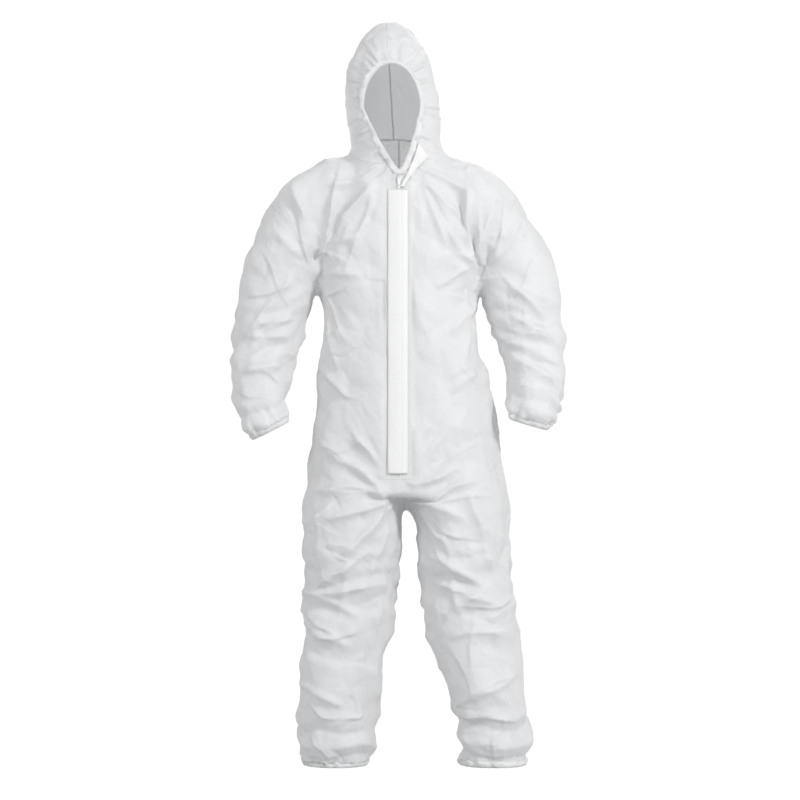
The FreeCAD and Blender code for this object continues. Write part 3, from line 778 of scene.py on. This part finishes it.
def past(motion):
    """The points beyond the first plane of a bend."""
    return (OUT - motion[2]) @ motion[3] > 0


def crotch_line(z):
    """x of the middle between the legs."""
    return 0.012 + 0.045 * np.clip(0.65 - z, 0, 1)


def hood_centre(z):
    """x of the hood's centre seam."""
    return -0.012 - 0.06 * (z - 1.5)


X, Y, Z = OUT.T
SLEEVE_SIDE = (np.abs(CO[:, 0]) > arm_gap(CO[:, 2])) & (CO[:, 2] > 0.74)
hood_faces = (past(HOOD_BEND) & (np.abs(CO[:, 0]) < 0.16) & (Z > 1.40))[FACES].any(1)
arm_faces, leg_faces = {}, {}
for side, name in SIDES:
    arm = (SLEEVE_SIDE | (CO[:, 2] > 1.12)) & (CO[:, 0] * side > 0.15) & past(SHOULDER_BEND[side])
    arm_faces[side] = arm[FACES].any(1) & ~hood_faces
    leg = past(HIP_BEND[side]) & ((CO[:, 0] - crotch_line(CO[:, 2])) * side > 0) & (Z < 0.95) & ~SLEEVE_SIDE
    leg_faces[side] = leg[FACES].any(1)
trunk_faces = ~(hood_faces | arm_faces[LEFT] | arm_faces[RIGHT] | leg_faces[LEFT] | leg_faces[RIGHT])
low_arm = (Z < ELBOW_Z)[FACES].any(1)
low_leg = (Z < KNEE_Z)[FACES].any(1)
SIDE_SEAM_Y = 0.008


# ---------------------------------------------------------------- making pieces
def finish_mesh(obj, rest, normals=None, uv=None):
    """Smooth shading, and the place of each point on the uncreased suit for the materials."""
    mesh = obj.data
    attribute = mesh.attributes.new("rest", "FLOAT_VECTOR", "POINT")
    attribute.data.foreach_set("vector", np.asarray(rest, np.float32).ravel())
    mesh.polygons.foreach_set("use_smooth", np.ones(len(mesh.polygons), bool))
    if normals is not None:
        mesh.normals_split_custom_set_from_vertices([tuple(n) for n in normals])
    if uv is not None:
        layer = mesh.uv_layers.new(name="run")
        loops = np.empty(len(mesh.loops), np.int64)
        mesh.loops.foreach_get("vertex_index", loops)
        layer.data.foreach_set("uv", np.asarray(uv, np.float32)[loops].ravel())
    return obj


def place(obj, motion, material, slot, *nodes):
    """Gives a piece its material and hides the CAD nodes that it stands for; a piece with a body's name is
    parented to that body's empty, and a piece at a bend has its transform applied.
    """
    obj.data.materials.append(material)
    if nodes:
        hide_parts(*nodes)
    if isinstance(motion, str):
        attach(obj, motion)
    else:
        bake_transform(obj)
    return obj


def shell(name, chosen):
    """A thin closed piece of cloth made from the chosen faces."""
    used, inverse = np.unique(FACES[chosen], return_inverse=True)
    n = len(used)
    outer, normal = OUT[used], NRM[used]
    faces, edges = [], set()
    for q in inverse.reshape(-1, 4).tolist():
        q = list(dict.fromkeys(q))
        faces.append(tuple(q))
        faces.append(tuple(i + n for i in reversed(q)))
        edges.update(zip(q, q[1:] + q[:1]))
    faces += [(b, a, a + n, b + n) for a, b in sorted(edges) if (b, a) not in edges]
    obj = new_object(name, np.concatenate([outer, outer - normal * THICK]), faces)
    return finish_mesh(obj, np.concatenate([CO[used]] * 2), np.concatenate([normal, -normal]))


def chains(field, chosen, least=0.05):
    """The lines along which field is zero on the chosen faces, as arrays of points and normals."""
    sign = field > 0
    crossing = chosen & (sign[FACES].any(1)) & (~sign[FACES]).any(1)
    index, points, normals, links = {}, [], [], {}
    for f in FACES[crossing].tolist():
        hits = []
        for a, b in zip(f, f[1:] + f[:1]):
            if a == b or sign[a] == sign[b]:
                continue
            key = (min(a, b), max(a, b))
            if key not in index:
                t = field[key[0]] / (field[key[0]] - field[key[1]])
                index[key] = len(points)
                points.append(OUT[key[0]] * (1 - t) + OUT[key[1]] * t)
                normals.append(NRM[key[0]] * (1 - t) + NRM[key[1]] * t)
            hits.append(index[key])
        if len(hits) == 2:
            links.setdefault(hits[0], []).append(hits[1])
            links.setdefault(hits[1], []).append(hits[0])
    return follow(links, np.array(points), np.array(normals), least)


def follow(links, points, normals, least):
    """Joins linked points into lines; each line is (points, normals, whether it closes on itself)."""
    lines, seen = [], set()
    for start in sorted(links, key=lambda i: (len(links[i]) != 1, i)):
        if start in seen:
            continue
        path, here = [start], start
        seen.add(start)
        while True:
            onward = [i for i in links[here] if i not in seen]
            if not onward:
                break
            here = onward[0]
            seen.add(here)
            path.append(here)
        closed = len(path) > 8 and path[0] in links[path[-1]]
        p, n = points[path], normals[path]
        if np.linalg.norm(np.diff(p, axis=0), axis=1).sum() > least:
            lines.append(even(p, n, closed))
    return lines


def even(p, n, closed, pitch=0.004, rounds=4):
    """The line smoothed and stepped evenly."""
    for _ in range(rounds):
        if closed:
            p = 0.5 * p + 0.25 * (np.roll(p, 1, 0) + np.roll(p, -1, 0))
            n = 0.5 * n + 0.25 * (np.roll(n, 1, 0) + np.roll(n, -1, 0))
        else:
            p[1:-1] = 0.5 * p[1:-1] + 0.25 * (p[:-2] + p[2:])
            n[1:-1] = 0.5 * n[1:-1] + 0.25 * (n[:-2] + n[2:])
    if closed:
        p, n = np.concatenate([p, p[:1]]), np.concatenate([n, n[:1]])
    run = np.concatenate([[0], np.cumsum(np.linalg.norm(np.diff(p, axis=0), axis=1))])
    count = max(int(run[-1] / pitch), 4)
    at = np.linspace(0, run[-1], count + 1)
    p = np.stack([np.interp(at, run, p[:, k]) for k in range(3)], 1)
    n = np.stack([np.interp(at, run, n[:, k]) for k in range(3)], 1)
    if closed:
        p, n = p[:-1], n[:-1]
    return p, n / np.linalg.norm(n, axis=1)[:, None], closed


def edge_loops():
    """The garment's open edges as closed lines."""
    links = {}
    for a, b in open_edges([list(dict.fromkeys(f)) for f in FACES.tolist()]):
        links.setdefault(a, []).append(b)
        links.setdefault(b, []).append(a)
    return follow(links, OUT, NRM, 0.15)


def turn_outward(obj):
    bm = bmesh.new()
    bm.from_mesh(obj.data)
    bmesh.ops.recalc_face_normals(bm, faces=bm.faces)
    bm.to_mesh(obj.data)
    bm.free()


def sweep(name, lines, profile, pucker=0.0, pitch=0.007, inward=None, seed=1.0):
    """A strip swept along lines; a profile row is (across, up, share of the pucker).

    Across points to the side that inward gives for the line's points."""
    verts, faces, uv = [], [], []
    m = len(profile)
    for k, (p, n, closed) in enumerate(lines):
        t = np.roll(p, -1, 0) - np.roll(p, 1, 0)
        if not closed:
            t[0], t[-1] = p[1] - p[0], p[-1] - p[-2]
        t /= np.linalg.norm(t, axis=1)[:, None]
        side = np.cross(t, n)
        side /= np.linalg.norm(side, axis=1)[:, None]
        up = np.cross(side, t)
        if inward is not None:
            side *= np.sign((side * inward(p)).sum(1).mean())
        run = np.concatenate([[0], np.cumsum(np.linalg.norm(np.diff(p, axis=0), axis=1))])
        wave = np.array([noise.noise(Vector((s / pitch, seed + k * 1.7, 0.0))) for s in run])
        if closed:
            wave *= smooth(np.minimum(np.arange(len(p)), np.arange(len(p))[::-1]) / 4.0)
        first = len(verts)
        for i in range(len(p)):
            for across, rise, share in profile:
                verts.append(p[i] + side[i] * across + up[i] * (rise + share * pucker * wave[i]))
                uv.append((run[i], across))
        count = len(p)
        for i in range(count if closed else count - 1):
            a, b = first + i * m, first + ((i + 1) % count) * m
            for j in range(m):
                faces.append((a + j, a + (j + 1) % m, b + (j + 1) % m, b + j))
        if not closed:
            faces.append(tuple(first + j for j in reversed(range(m))))
            faces.append(tuple(first + (count - 1) * m + j for j in range(m)))
    obj = new_object(name, verts, faces)
    turn_outward(obj)
    return finish_mesh(obj, verts, uv=uv)


WELT = ((-0.0018, -0.0006, 0), (-0.0014, 0.0004, 0.5), (-0.0005, 0.0008, 1), (0.0005, 0.0008, 1),
        (0.0014, 0.0004, 0.5), (0.0018, -0.0006, 0))


def seam(name, field, chosen, motion):
    """A sewn welt where field is zero on the chosen faces."""
    lines = chains(field, chosen)
    if lines:
        place(sweep(name, lines, WELT, 0.0012, 0.008, seed=len(name)), motion, welt, "cloth")


# ---------------------------------------------------------------- materials
def node_maker(tree):
    """A function that adds a node to an emptied tree, with values or other nodes' outputs for its inputs."""
    tree.nodes.clear()

    def add(kind, inputs=(), **settings):
        node = tree.nodes.new(kind)
        for key, value in settings.items():
            setattr(node, key, value)
        for key, value in dict(inputs).items():
            if isinstance(value, bpy.types.NodeSocket):
                tree.links.new(value, node.inputs[key])
            else:
                node.inputs[key].default_value = value
        return node

    return add


def nodes_of(name):
    """A new material, with functions that add a node and a sum to it."""
    material = bpy.data.materials.new(name)
    material.use_nodes = True
    add = node_maker(material.node_tree)

    def calc(operation, a, b=0.0):
        return add("ShaderNodeMath", {0: a, 1: b}, operation=operation).outputs[0]

    return material, add, calc


def cloth_material(name, colour, creases=1.0, through=0.46, stitched=False, gloss=0.5, use_rest=True):
    """White spun-bonded cloth: crumpled cells, packing creases, a bonded grain, a little light through it."""
    material, add, calc = nodes_of(name)

    def cells(where, scale):
        edge = add("ShaderNodeTexVoronoi", {"Vector": where, "Scale": scale}, feature="DISTANCE_TO_EDGE")
        return edge.outputs["Distance"]

    if use_rest:
        where = add("ShaderNodeAttribute", attribute_name="rest").outputs["Vector"]
    else:
        where = add("ShaderNodeTexCoord").outputs["Object"]
    warp = add("ShaderNodeTexNoise", {"Vector": where, "Scale": 14.0, "Detail": 3.0})
    shift = add("ShaderNodeVectorMath", {0: warp.outputs["Color"], 1: (0.5, 0.5, 0.5)}, operation="SUBTRACT")
    shift = add("ShaderNodeVectorMath", {0: shift.outputs[0], "Scale": 0.045}, operation="SCALE")
    bent = add("ShaderNodeVectorMath", {0: where, 1: shift.outputs[0]}, operation="ADD").outputs[0]
    tall = add("ShaderNodeVectorMath", {0: bent, 1: (1.0, 1.0, 0.16)}, operation="MULTIPLY").outputs[0]
    soft = {"Vector": where, "Scale": 24.0, "Detail": 3.0, "Roughness": 0.5}
    soft = add("ShaderNodeTexNoise", soft).outputs["Fac"]
    height = calc("MULTIPLY", calc("MINIMUM", cells(bent, 8.0), 0.30), 1.3)
    height = calc("ADD", height, calc("MULTIPLY", calc("MINIMUM", cells(bent, 27.0), 0.22), 0.22))
    height = calc("ADD", height, calc("MULTIPLY", calc("MINIMUM", cells(tall, 16.0), 0.12), 1.0))
    height = calc("ADD", height, calc("MULTIPLY", soft, 0.30))
    bump = add("ShaderNodeBump", {"Height": height, "Strength": 0.75 * creases, "Distance": 0.0034})
    bond = add("ShaderNodeTexVoronoi", {"Vector": where, "Scale": 620.0}).outputs["Distance"]
    fibre = add("ShaderNodeTexNoise", {"Vector": where, "Scale": 900.0, "Detail": 3.0}).outputs["Fac"]
    grain = calc("ADD", bond, calc("MULTIPLY", fibre, 0.8))
    fine = add("ShaderNodeBump", {"Height": grain, "Strength": 0.25, "Distance": 0.00025,
                                  "Normal": bump.outputs["Normal"]})
    normal = fine.outputs["Normal"]
    mottle = {"Vector": where, "Scale": 210.0, "Detail": 4.0, "Roughness": 0.7}
    mottle = add("ShaderNodeTexNoise", mottle).outputs["Fac"]
    tone = add("ShaderNodeMapRange", {"Value": mottle, "From Min": 0.3, "From Max": 0.7,
                                      "To Min": 0.975, "To Max": 1.015})
    base = add("ShaderNodeVectorMath", {0: colour, "Scale": tone.outputs[0]}, operation="SCALE").outputs[0]
    rough = {"Value": bond, "To Min": gloss - 0.06, "To Max": gloss + 0.10}
    rough = add("ShaderNodeMapRange", rough).outputs[0]
    if stitched:
        run = add("ShaderNodeSeparateXYZ", {0: add("ShaderNodeUVMap", uv_map="run").outputs[0]})
        dash = calc("SINE", calc("MULTIPLY", run.outputs[0], 2 * math.pi / 0.0036))
        off_line = calc("SUBTRACT", calc("ABSOLUTE", run.outputs[1]), 0.0009)
        line = calc("LESS_THAN", calc("ABSOLUTE", off_line), 0.00035)
        thread = calc("MULTIPLY", calc("GREATER_THAN", dash, -0.3), line)
        fine = add("ShaderNodeBump", {"Height": thread, "Strength": 0.8, "Distance": 0.0005,
                                      "Normal": normal})
        normal = fine.outputs["Normal"]
        dark = calc("SUBTRACT", 1.0, calc("MULTIPLY", calc("SUBTRACT", line, thread), 0.10))
        base = add("ShaderNodeVectorMath", {0: base, "Scale": dark}, operation="SCALE").outputs[0]
    cloth = add("ShaderNodeBsdfPrincipled", {"Base Color": base, "Roughness": rough, "Normal": normal,
                                             "Specular IOR Level": 0.35, "Sheen Weight": 0.12,
                                             "Sheen Roughness": 0.5})
    behind = add("ShaderNodeBsdfTranslucent", {"Color": base, "Normal": normal})
    both = add("ShaderNodeMixShader", {0: through, 1: cloth.outputs[0], 2: behind.outputs[0]})
    add("ShaderNodeOutputMaterial", {"Surface": both.outputs[0]})
    return material


def tape_material(name, colour, scale, rough, ribs=True):
    """Woven tape or ribbed elastic: fine ribs across the run, with slight wear in the tone."""
    material, add, calc = nodes_of(name)
    where = add("ShaderNodeTexCoord").outputs["Object"]
    part = add("ShaderNodeSeparateXYZ", {0: where})
    warp = calc("SINE", calc("MULTIPLY", part.outputs[2], scale))
    round_it = calc("ADD", part.outputs[0], part.outputs[1])
    weft = calc("SINE", calc("MULTIPLY", round_it, scale * (1.0 if ribs else 0.5)))
    weave = calc("MULTIPLY", warp, weft) if ribs else calc("ADD", warp, calc("MULTIPLY", weft, 0.5))
    worn = add("ShaderNodeTexNoise", {"Vector": where, "Scale": 160.0, "Detail": 4.0}).outputs["Fac"]
    mixed = calc("ADD", calc("MULTIPLY", weave, 0.12), worn)
    tone = add("ShaderNodeMapRange", {"Value": mixed, "To Min": 0.90, "To Max": 1.05})
    base = add("ShaderNodeVectorMath", {0: colour, "Scale": tone.outputs[0]}, operation="SCALE").outputs[0]
    bump = add("ShaderNodeBump", {"Height": weave, "Strength": 0.5, "Distance": 0.0003})
    grit = add("ShaderNodeMapRange", {"Value": worn, "To Min": rough - 0.08, "To Max": rough + 0.12})
    skin = add("ShaderNodeBsdfPrincipled", {"Base Color": base, "Roughness": grit.outputs[0],
                                            "Normal": bump.outputs[0]})
    add("ShaderNodeOutputMaterial", {"Surface": skin.outputs[0]})
    return material


WHITE = (0.905, 0.910, 0.915)
cloth = cloth_material("bonded_white_cloth", WHITE)
trim = cloth_material("hem_cloth", WHITE, creases=0.35, through=0.3, stitched=True)
welt = cloth_material("seam_cloth", (0.90, 0.905, 0.91), creases=0.25, through=0.15, stitched=True)
flap_cloth = cloth_material("flap_cloth", (0.86, 0.863, 0.867), creases=0.30, through=0.15, gloss=0.44,
                            use_rest=False)
elastic = tape_material("ribbed_elastic", (0.86, 0.865, 0.87), 2600.0, 0.75, ribs=False)
tape = tape_material("zip_tape_weave", (0.88, 0.885, 0.89), 3200.0, 0.70)
coil = tape_material("zip_coil_nylon", (0.90, 0.90, 0.90), 3600.0, 0.35, ribs=False)
paint = tape_material("slider_enamel", (0.84, 0.845, 0.85), 700.0, 0.30, ribs=False)
thread_white = tape_material("sewing_thread", (0.90, 0.905, 0.91), 5200.0, 0.55)

# ---------------------------------------------------------------- the cloth pieces
hood_left = MID[:, 0] > hood_centre(MID[:, 2])
front = MID[:, 1] < SIDE_SEAM_Y
left_half = MID[:, 0] > np.where(MID[:, 2] < 0.70, crotch_line(MID[:, 2]), 0.0)
place(shell("hood_left_cloth", hood_faces & hood_left), HOOD_BEND, cloth, "cloth", "hood_left_panel")
place(shell("hood_right_cloth", hood_faces & ~hood_left), HOOD_BEND, cloth, "cloth", "hood_right_panel")
CAP_SEAM = {LEFT: ((0.283, 0, 1.361), (0.707, 0, -0.707)), RIGHT: ((-0.300, 0, 1.342), (-0.646, 0, -0.763))}
for side, name in SIDES:
    half = trunk_faces & (left_half if side == LEFT else ~left_half)
    point, way = (np.array(v) for v in CAP_SEAM[side])
    cap = (MID - point) @ way < 0
    arm, leg = arm_faces[side], leg_faces[side]
    for piece, node, chosen, motion in (
            ("front", "front_panel", half & front, "torso"),
            ("back", "back_panel", half & ~front, "torso"),
            ("shoulder", "shoulder_cap", arm & ~low_arm & cap, SHOULDER_BEND[side]),
            ("sleeve_upper", "sleeve_upper", arm & ~low_arm & ~cap, SHOULDER_BEND[side]),
            ("sleeve_lower", "sleeve_lower", arm & low_arm, ELBOW_BEND[side]),
            ("leg_upper_front", "leg_upper_front", leg & ~low_leg & front, HIP_BEND[side]),
            ("leg_upper_back", "leg_upper_back", leg & ~low_leg & ~front, HIP_BEND[side]),
            ("leg_lower_front", "leg_lower_front", leg & low_leg & front, KNEE_BEND[side]),
            ("leg_lower_back", "leg_lower_back", leg & low_leg & ~front, KNEE_BEND[side])):
        place(shell(f"{name}_{piece}_cloth", chosen), motion, cloth, "cloth", f"{name}_{node}")


# ---------------------------------------------------------------- seams
def beyond(motion):
    """How far each point is past the first plane of a bend, where the pieces of its two sides meet."""
    return (OUT - motion[2]) @ motion[3] + 0.0005


mid_x, mid_y, mid_z = MID.T
centre_line = X - crotch_line(Z) * smooth((0.72 - Z) / 0.07)
side_line = Y - SIDE_SEAM_Y
seam("hood_centre_seam", X - hood_centre(Z), hood_faces, HOOD_BEND)
seam("neck_seam", beyond(HOOD_BEND), (np.abs(mid_x) < 0.2) & (mid_z > 1.40), "torso")
seam("centre_front_seam", centre_line, trunk_faces & front & (mid_z < 0.715), "torso")
seam("centre_back_seam", centre_line, trunk_faces & ~front, "torso")
seam("front_waist_seam", Z - 0.697 - 0.02 * X, trunk_faces & front & (np.abs(mid_x) < 0.05), "torso")
for side, name in SIDES:
    half = trunk_faces & (mid_x * side > 0)
    seam(name + "_side_seam", side_line, half & (np.abs(mid_x) > 0.1) & (mid_z < 1.20), "torso")
    seam(name + "_shoulder_seam", side_line, half & (mid_z > 1.30), "torso")
    around = (mid_x * side > 0.15) & (mid_z > 1.155) & (arm_faces[side] | trunk_faces)
    seam(name + "_armhole_seam", beyond(SHOULDER_BEND[side]), around, "torso")
    point, way = (np.array(v) for v in CAP_SEAM[side])
    seam(name + "_drop_shoulder_seam", (OUT - point) @ way, arm_faces[side] & ~low_arm, SHOULDER_BEND[side])
    axis_x = np.interp(-mid_z, [-r[2] for r in SLEEVE], [r[0] for r in SLEEVE])
    inner = arm_faces[side] & (mid_x * side < axis_x)
    fall = Y - np.interp(-Z, [-r[2] for r in SLEEVE], [r[1] for r in SLEEVE])
    seam(name + "_sleeve_seam_upper", fall, inner & ~low_arm & (mid_z < 1.18), SHOULDER_BEND[side])
    seam(name + "_sleeve_seam_lower", fall, inner & low_arm, ELBOW_BEND[side])
    seam(name + "_leg_seam_upper", side_line, leg_faces[side] & ~low_leg, HIP_BEND[side])
    seam(name + "_leg_seam_lower", side_line, leg_faces[side] & low_leg, KNEE_BEND[side])
WAIST_Z = 1.045
WAISTBAND = ((-0.0070, -0.0008, 0), (-0.0055, 0.0010, 0.6), (0, 0.0016, 1),
             (0.0055, 0.0010, 0.6), (0.0070, -0.0008, 0))
back_faces = trunk_faces & (mid_y > 0.03) & (mid_z > 0.98) & (mid_z < 1.12)
place(sweep("back_waist_gather", chains(Z - WAIST_Z, back_faces), WAISTBAND, 0.004, 0.008), "torso", trim,
      "elastic", "back_waist_elastic")

# ---------------------------------------------------------------- hems and elastics round the openings
HEM = ((0.0, -0.0022, 0), (-0.0026, -0.0004, 0.3), (-0.0016, 0.0018, 0.6), (0.0030, 0.0026, 1.0),
       (0.0085, 0.0022, 1.0), (0.0125, 0.0008, 0.3), (0.0128, -0.0012, 0), (0.0070, -0.0026, -0.5))
BAND = ((0.0030, -0.0030, 0.2), (0.0030, -0.0040, 0.2), (0.0090, -0.0040, 0.2), (0.0090, -0.0030, 0.2))
OPENINGS = [(line, line[0].mean(0)) for line in edge_loops()]


def hem_and_elastic(opening, where, pitch, puckers, inward, motion, seed=1.0):
    """The hem and the elastic round the openings whose middle passes the test."""
    lines = [line for line, middle in OPENINGS if where(middle)]
    hem = sweep(opening + "_hem_cloth", lines, HEM, puckers[0], pitch, inward, seed)
    place(hem, motion, trim, "cloth", opening + "_hem")
    band = sweep(opening + "_elastic_band", lines, BAND, puckers[1], pitch, inward, seed)
    place(band, motion, elastic, "elastic", opening + "_elastic")


hem_and_elastic("hood_face", lambda m: m[2] > 1.3, 0.010, (0.0020, 0.0010),
                lambda p: p - p.mean(0), HOOD_BEND)
for side, name in SIDES:
    end = sleeve_frames(side)[1][-1]
    hem_and_elastic(name + "_cuff", lambda m: 0.7 < m[2] < 0.9 and m[0] * side > 0, 0.007, (0.0040, 0.0012),
                    lambda p: p * 0 - end, name + "_lower_sleeve", side)
    hem_and_elastic(name + "_ankle", lambda m: m[2] < 0.2 and (m[0] > 0.04) == (side == LEFT), 0.012,
                    (0.0040, 0.0012), lambda p: p * 0 + [0, 0, 1.0], name + "_lower_leg", side)


# ---------------------------------------------------------------- flap, chin flap, stitching
LEAN_COS, LEAN_SIN = 0.99955, 0.02999


def at_zip(x, h, s):
    """A point x across, h out from the cloth and s down the zip."""
    return np.array([x, ZIP_TOP[1] - LEAN_COS * h - LEAN_SIN * s, ZIP_TOP[2] + LEAN_SIN * h - LEAN_COS * s])


def patch(name, grid, thick):
    """A thin closed sheet from a grid of points, front face first."""
    grid = np.array(grid, float)
    rows, cols = grid.shape[:2]
    du, dv = np.gradient(grid, axis=0), np.gradient(grid, axis=1)
    n = np.cross(du, dv)
    n /= np.linalg.norm(n, axis=2)[..., None]
    if n[..., 1].mean() > 0:
        n = -n
    top = grid.reshape(-1, 3)
    low = (grid - n * thick).reshape(-1, 3)
    count = rows * cols
    faces = []
    for i in range(rows - 1):
        for j in range(cols - 1):
            a, b = i * cols + j, (i + 1) * cols + j
            faces.append((a, a + 1, b + 1, b))
            faces.append((b + count, b + 1 + count, a + 1 + count, a + count))
    ring = [i for i in range(cols)] + [i * cols + cols - 1 for i in range(1, rows)]
    ring += [(rows - 1) * cols + j for j in reversed(range(cols - 1))]
    ring += [i * cols for i in reversed(range(1, rows - 1))]
    for a, b in zip(ring, ring[1:] + ring[:1]):
        faces.append((a, b, b + count, a + count))
    obj = new_object(name, np.concatenate([top, low]), faces)
    turn_outward(obj)
    return finish_mesh(obj, np.concatenate([top, low]))


low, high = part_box("storm_flap")
FLAP_S0, FLAP_S1 = ZIP_TOP[2] - high.z, (ZIP_TOP[2] - low.z) / LEAN_COS
STITCHED_COLUMNS = (7, 10)
FLAP_ACROSS = ((-0.0262, 0.0018), (-0.0255, 0.0026), (-0.0225, 0.0036), (-0.0180, 0.0043), (-0.0100, 0.0048),
               (-0.0020, 0.0050), (0.0055, 0.0047), (0.0068, 0.0042), (0.0082, 0.0045), (0.0120, 0.0039),
               (0.0135, 0.0031), (0.0150, 0.0031), (0.0185, 0.0020), (0.0212, 0.0012))
grid = []
for s in np.linspace(FLAP_S0, FLAP_S1, 150):
    row = []
    for x, h in FLAP_ACROSS:
        loose = max(0.0, (0.004 - x) / 0.03)
        wave = noise.noise(Vector((x / 0.05, s / 0.045, 4.0)))
        edge = noise.noise(Vector((0.0, s / 0.10, 9.0)))
        row.append(at_zip(x + 0.0012 * edge * loose, h + 0.0016 * max(wave, -0.4) * (0.25 + loose), s))
    grid.append(row)
place(patch("storm_flap_cloth", grid, 0.0009), "storm_flap", flap_cloth, "flap_cloth", "storm_flap")


def stitches(name, lines, pitch=0.0042, length=0.0029, radius=0.00032):
    """Short raised stitches along lines of (point, normal)."""
    verts, faces = [], []
    for points, normal in lines:
        points = np.array(points, float)
        run = np.concatenate([[0], np.cumsum(np.linalg.norm(np.diff(points, axis=0), axis=1))])
        for s in np.arange(pitch / 2, run[-1] - pitch / 2, pitch):
            ends = [np.array([np.interp(s + d, run, points[:, k]) for k in range(3)])
                    for d in (-length / 2, -length / 3, length / 3, length / 2)]
            t = ends[3] - ends[0]
            t /= np.linalg.norm(t)
            side = np.cross(t, normal)
            base = len(verts)
            for e, r in zip(ends, (0.15, 1.0, 1.0, 0.15)):
                for k in range(5):
                    a = 2 * math.pi * k / 5
                    verts.append(e + radius * r * (math.cos(a) * side + math.sin(a) * np.array(normal)))
            for i in range(3):
                for k in range(5):
                    a, b = base + i * 5 + k, base + i * 5 + (k + 1) % 5
                    faces.append((a, b, b + 5, a + 5))
            faces.append(tuple(base + k for k in reversed(range(5))))
            faces.append(tuple(base + 15 + k for k in range(5)))
    obj = new_object(name, verts, faces)
    return finish_mesh(obj, verts)


OUTWARD = np.array([0, -1.0, ZIP_LEAN])
lines = [([row[column] + OUTWARD * 0.00015 for row in grid], OUTWARD) for column in STITCHED_COLUMNS]
place(stitches("flap_stitching", lines), "storm_flap", thread_white, "flap_cloth")


def skin_y(x, z):
    """y of the suit's front at x, z, or nan beside it."""
    hit = SKIN.ray_cast(Vector((x, -0.6, z)), Vector((0, 1, 0)))[0]
    return np.nan if hit is None else hit.y


TIP, HIGH_CORNER, FAR_CORNER = np.array([0.002, 1.385]), np.array([0.047, 1.492]), np.array([0.070, 1.456])
ROWS, COLUMNS = 30, 12
grid = []
for i in range(ROWS):
    u = i / (ROWS - 1)
    row = []
    for j in range(COLUMNS):
        v = j / (COLUMNS - 1)
        a = TIP + (HIGH_CORNER - TIP) * u + np.array([0.004, 0]) * math.sin(math.pi * u)
        b = TIP + (FAR_CORNER - TIP) * u + np.array([0.004, -0.003]) * math.sin(math.pi * u)
        q = a + (b - a) * v * (0.12 + 0.88 * u) + np.array([0.010 * v * (1 - u), 0])
        row.append((q[0], skin_y(*q), q[1]))
    grid.append(row)
grid = np.array(grid)
for row in grid:       # fill any gap from the nearest point on the row
    ok = ~np.isnan(row[:, 1])
    if ok.any():
        row[:, 1] = np.interp(np.arange(COLUMNS), np.arange(COLUMNS)[ok], row[ok, 1])
depth = grid[:, :, 1]
for _ in range(6):
    depth[1:-1] = 0.5 * depth[1:-1] + 0.25 * (depth[:-2] + depth[2:])
    depth[:, 1:-1] = 0.5 * depth[:, 1:-1] + 0.25 * (depth[:, :-2] + depth[:, 2:])
puff = np.sin(np.linspace(0, math.pi, COLUMNS))[None, :] * np.linspace(0, 1, ROWS)[:, None]
grid[:, :, 1] = depth - 0.0030 - 0.0030 * puff
place(patch("chin_flap_cloth", grid, 0.0010), HOOD_BEND, flap_cloth, "flap_cloth", "chin_flap")

# ---------------------------------------------------------------- finishes of the carried-over zip
FINISH = {"zip_tape": tape, "zip_coil": coil, "stop": coil, "zip_slider": paint, "zip_pull": paint}
for node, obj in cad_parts.items():
    for key, material in FINISH.items():
        if key in node and not obj.hide_render:
            obj.data.materials.clear()
            obj.data.materials.append(material)
bpy.data.objects.remove(garment)

# ---------------------------------------------------------------- floor, light and camera
BACKDROP = 1.05         # the camera sees the floor and the world as plain white
AMBIENT = 0.64          # what the world gives as light
floor = new_object("floor", [(-30, -30, 0), (30, -30, 0), (30, 30, 0), (-30, 30, 0)], [(0, 1, 2, 3)])
material, add, _ = nodes_of("white_floor")
glow = add("ShaderNodeEmission", {"Color": (1, 1, 1, 1), "Strength": BACKDROP})
matt = add("ShaderNodeBsdfDiffuse", {"Color": (0.62, 0.62, 0.62, 1)})
eye = add("ShaderNodeLightPath").outputs["Is Camera Ray"]
both = add("ShaderNodeMixShader", {0: eye, 1: matt.outputs[0], 2: glow.outputs[0]})
add("ShaderNodeOutputMaterial", {"Surface": both.outputs[0]})
floor.data.materials.append(material)

scene = bpy.context.scene
world = bpy.data.worlds.new("studio")
scene.world = world
world.use_nodes = True
add = node_maker(world.node_tree)
light = add("ShaderNodeBackground", {"Color": (1, 1, 1, 1), "Strength": AMBIENT})
seen = add("ShaderNodeBackground", {"Color": (1, 1, 1, 1), "Strength": BACKDROP})
eye = add("ShaderNodeLightPath").outputs["Is Camera Ray"]
both = add("ShaderNodeMixShader", {0: eye, 1: light.outputs[0], 2: seen.outputs[0]})
add("ShaderNodeOutputWorld", {"Surface": both.outputs[0]})


def area_light(name, at, target, power, size):
    light = bpy.data.lights.new(name, "AREA")
    light.energy, light.size = power, size
    obj = bpy.data.objects.new(name, light)
    obj.location = at
    obj.rotation_euler = (Vector(target) - Vector(at)).to_track_quat("-Z", "Y").to_euler()
    scene.collection.objects.link(obj)


area_light("key", (2.8, -3.2, 2.6), (0, 0, 1.05), 118, 0.6)
area_light("side_fill", (-3.2, -2.6, 2.7), (0, 0, 1.2), 42, 1.2)
area_light("rim_fill", (0.6, 3.2, 3.2), (0, 0, 1.3), 60, 1.5)

DISTANCE, VIEW_WIDTH = 7.5, 1.9176      # camera's distance, and the width that it sees there
camera = bpy.data.cameras.new("camera")
camera.sensor_width = 36.0
camera.lens = camera.sensor_width * DISTANCE / VIEW_WIDTH
camera_object = bpy.data.objects.new("camera", camera)
camera_object.location = (0.0024, -DISTANCE, 0.882)
camera_object.rotation_euler = (math.pi / 2, 0, 0)
scene.collection.objects.link(camera_object)
scene.camera = camera_object
scene.view_settings.view_transform = "Standard"
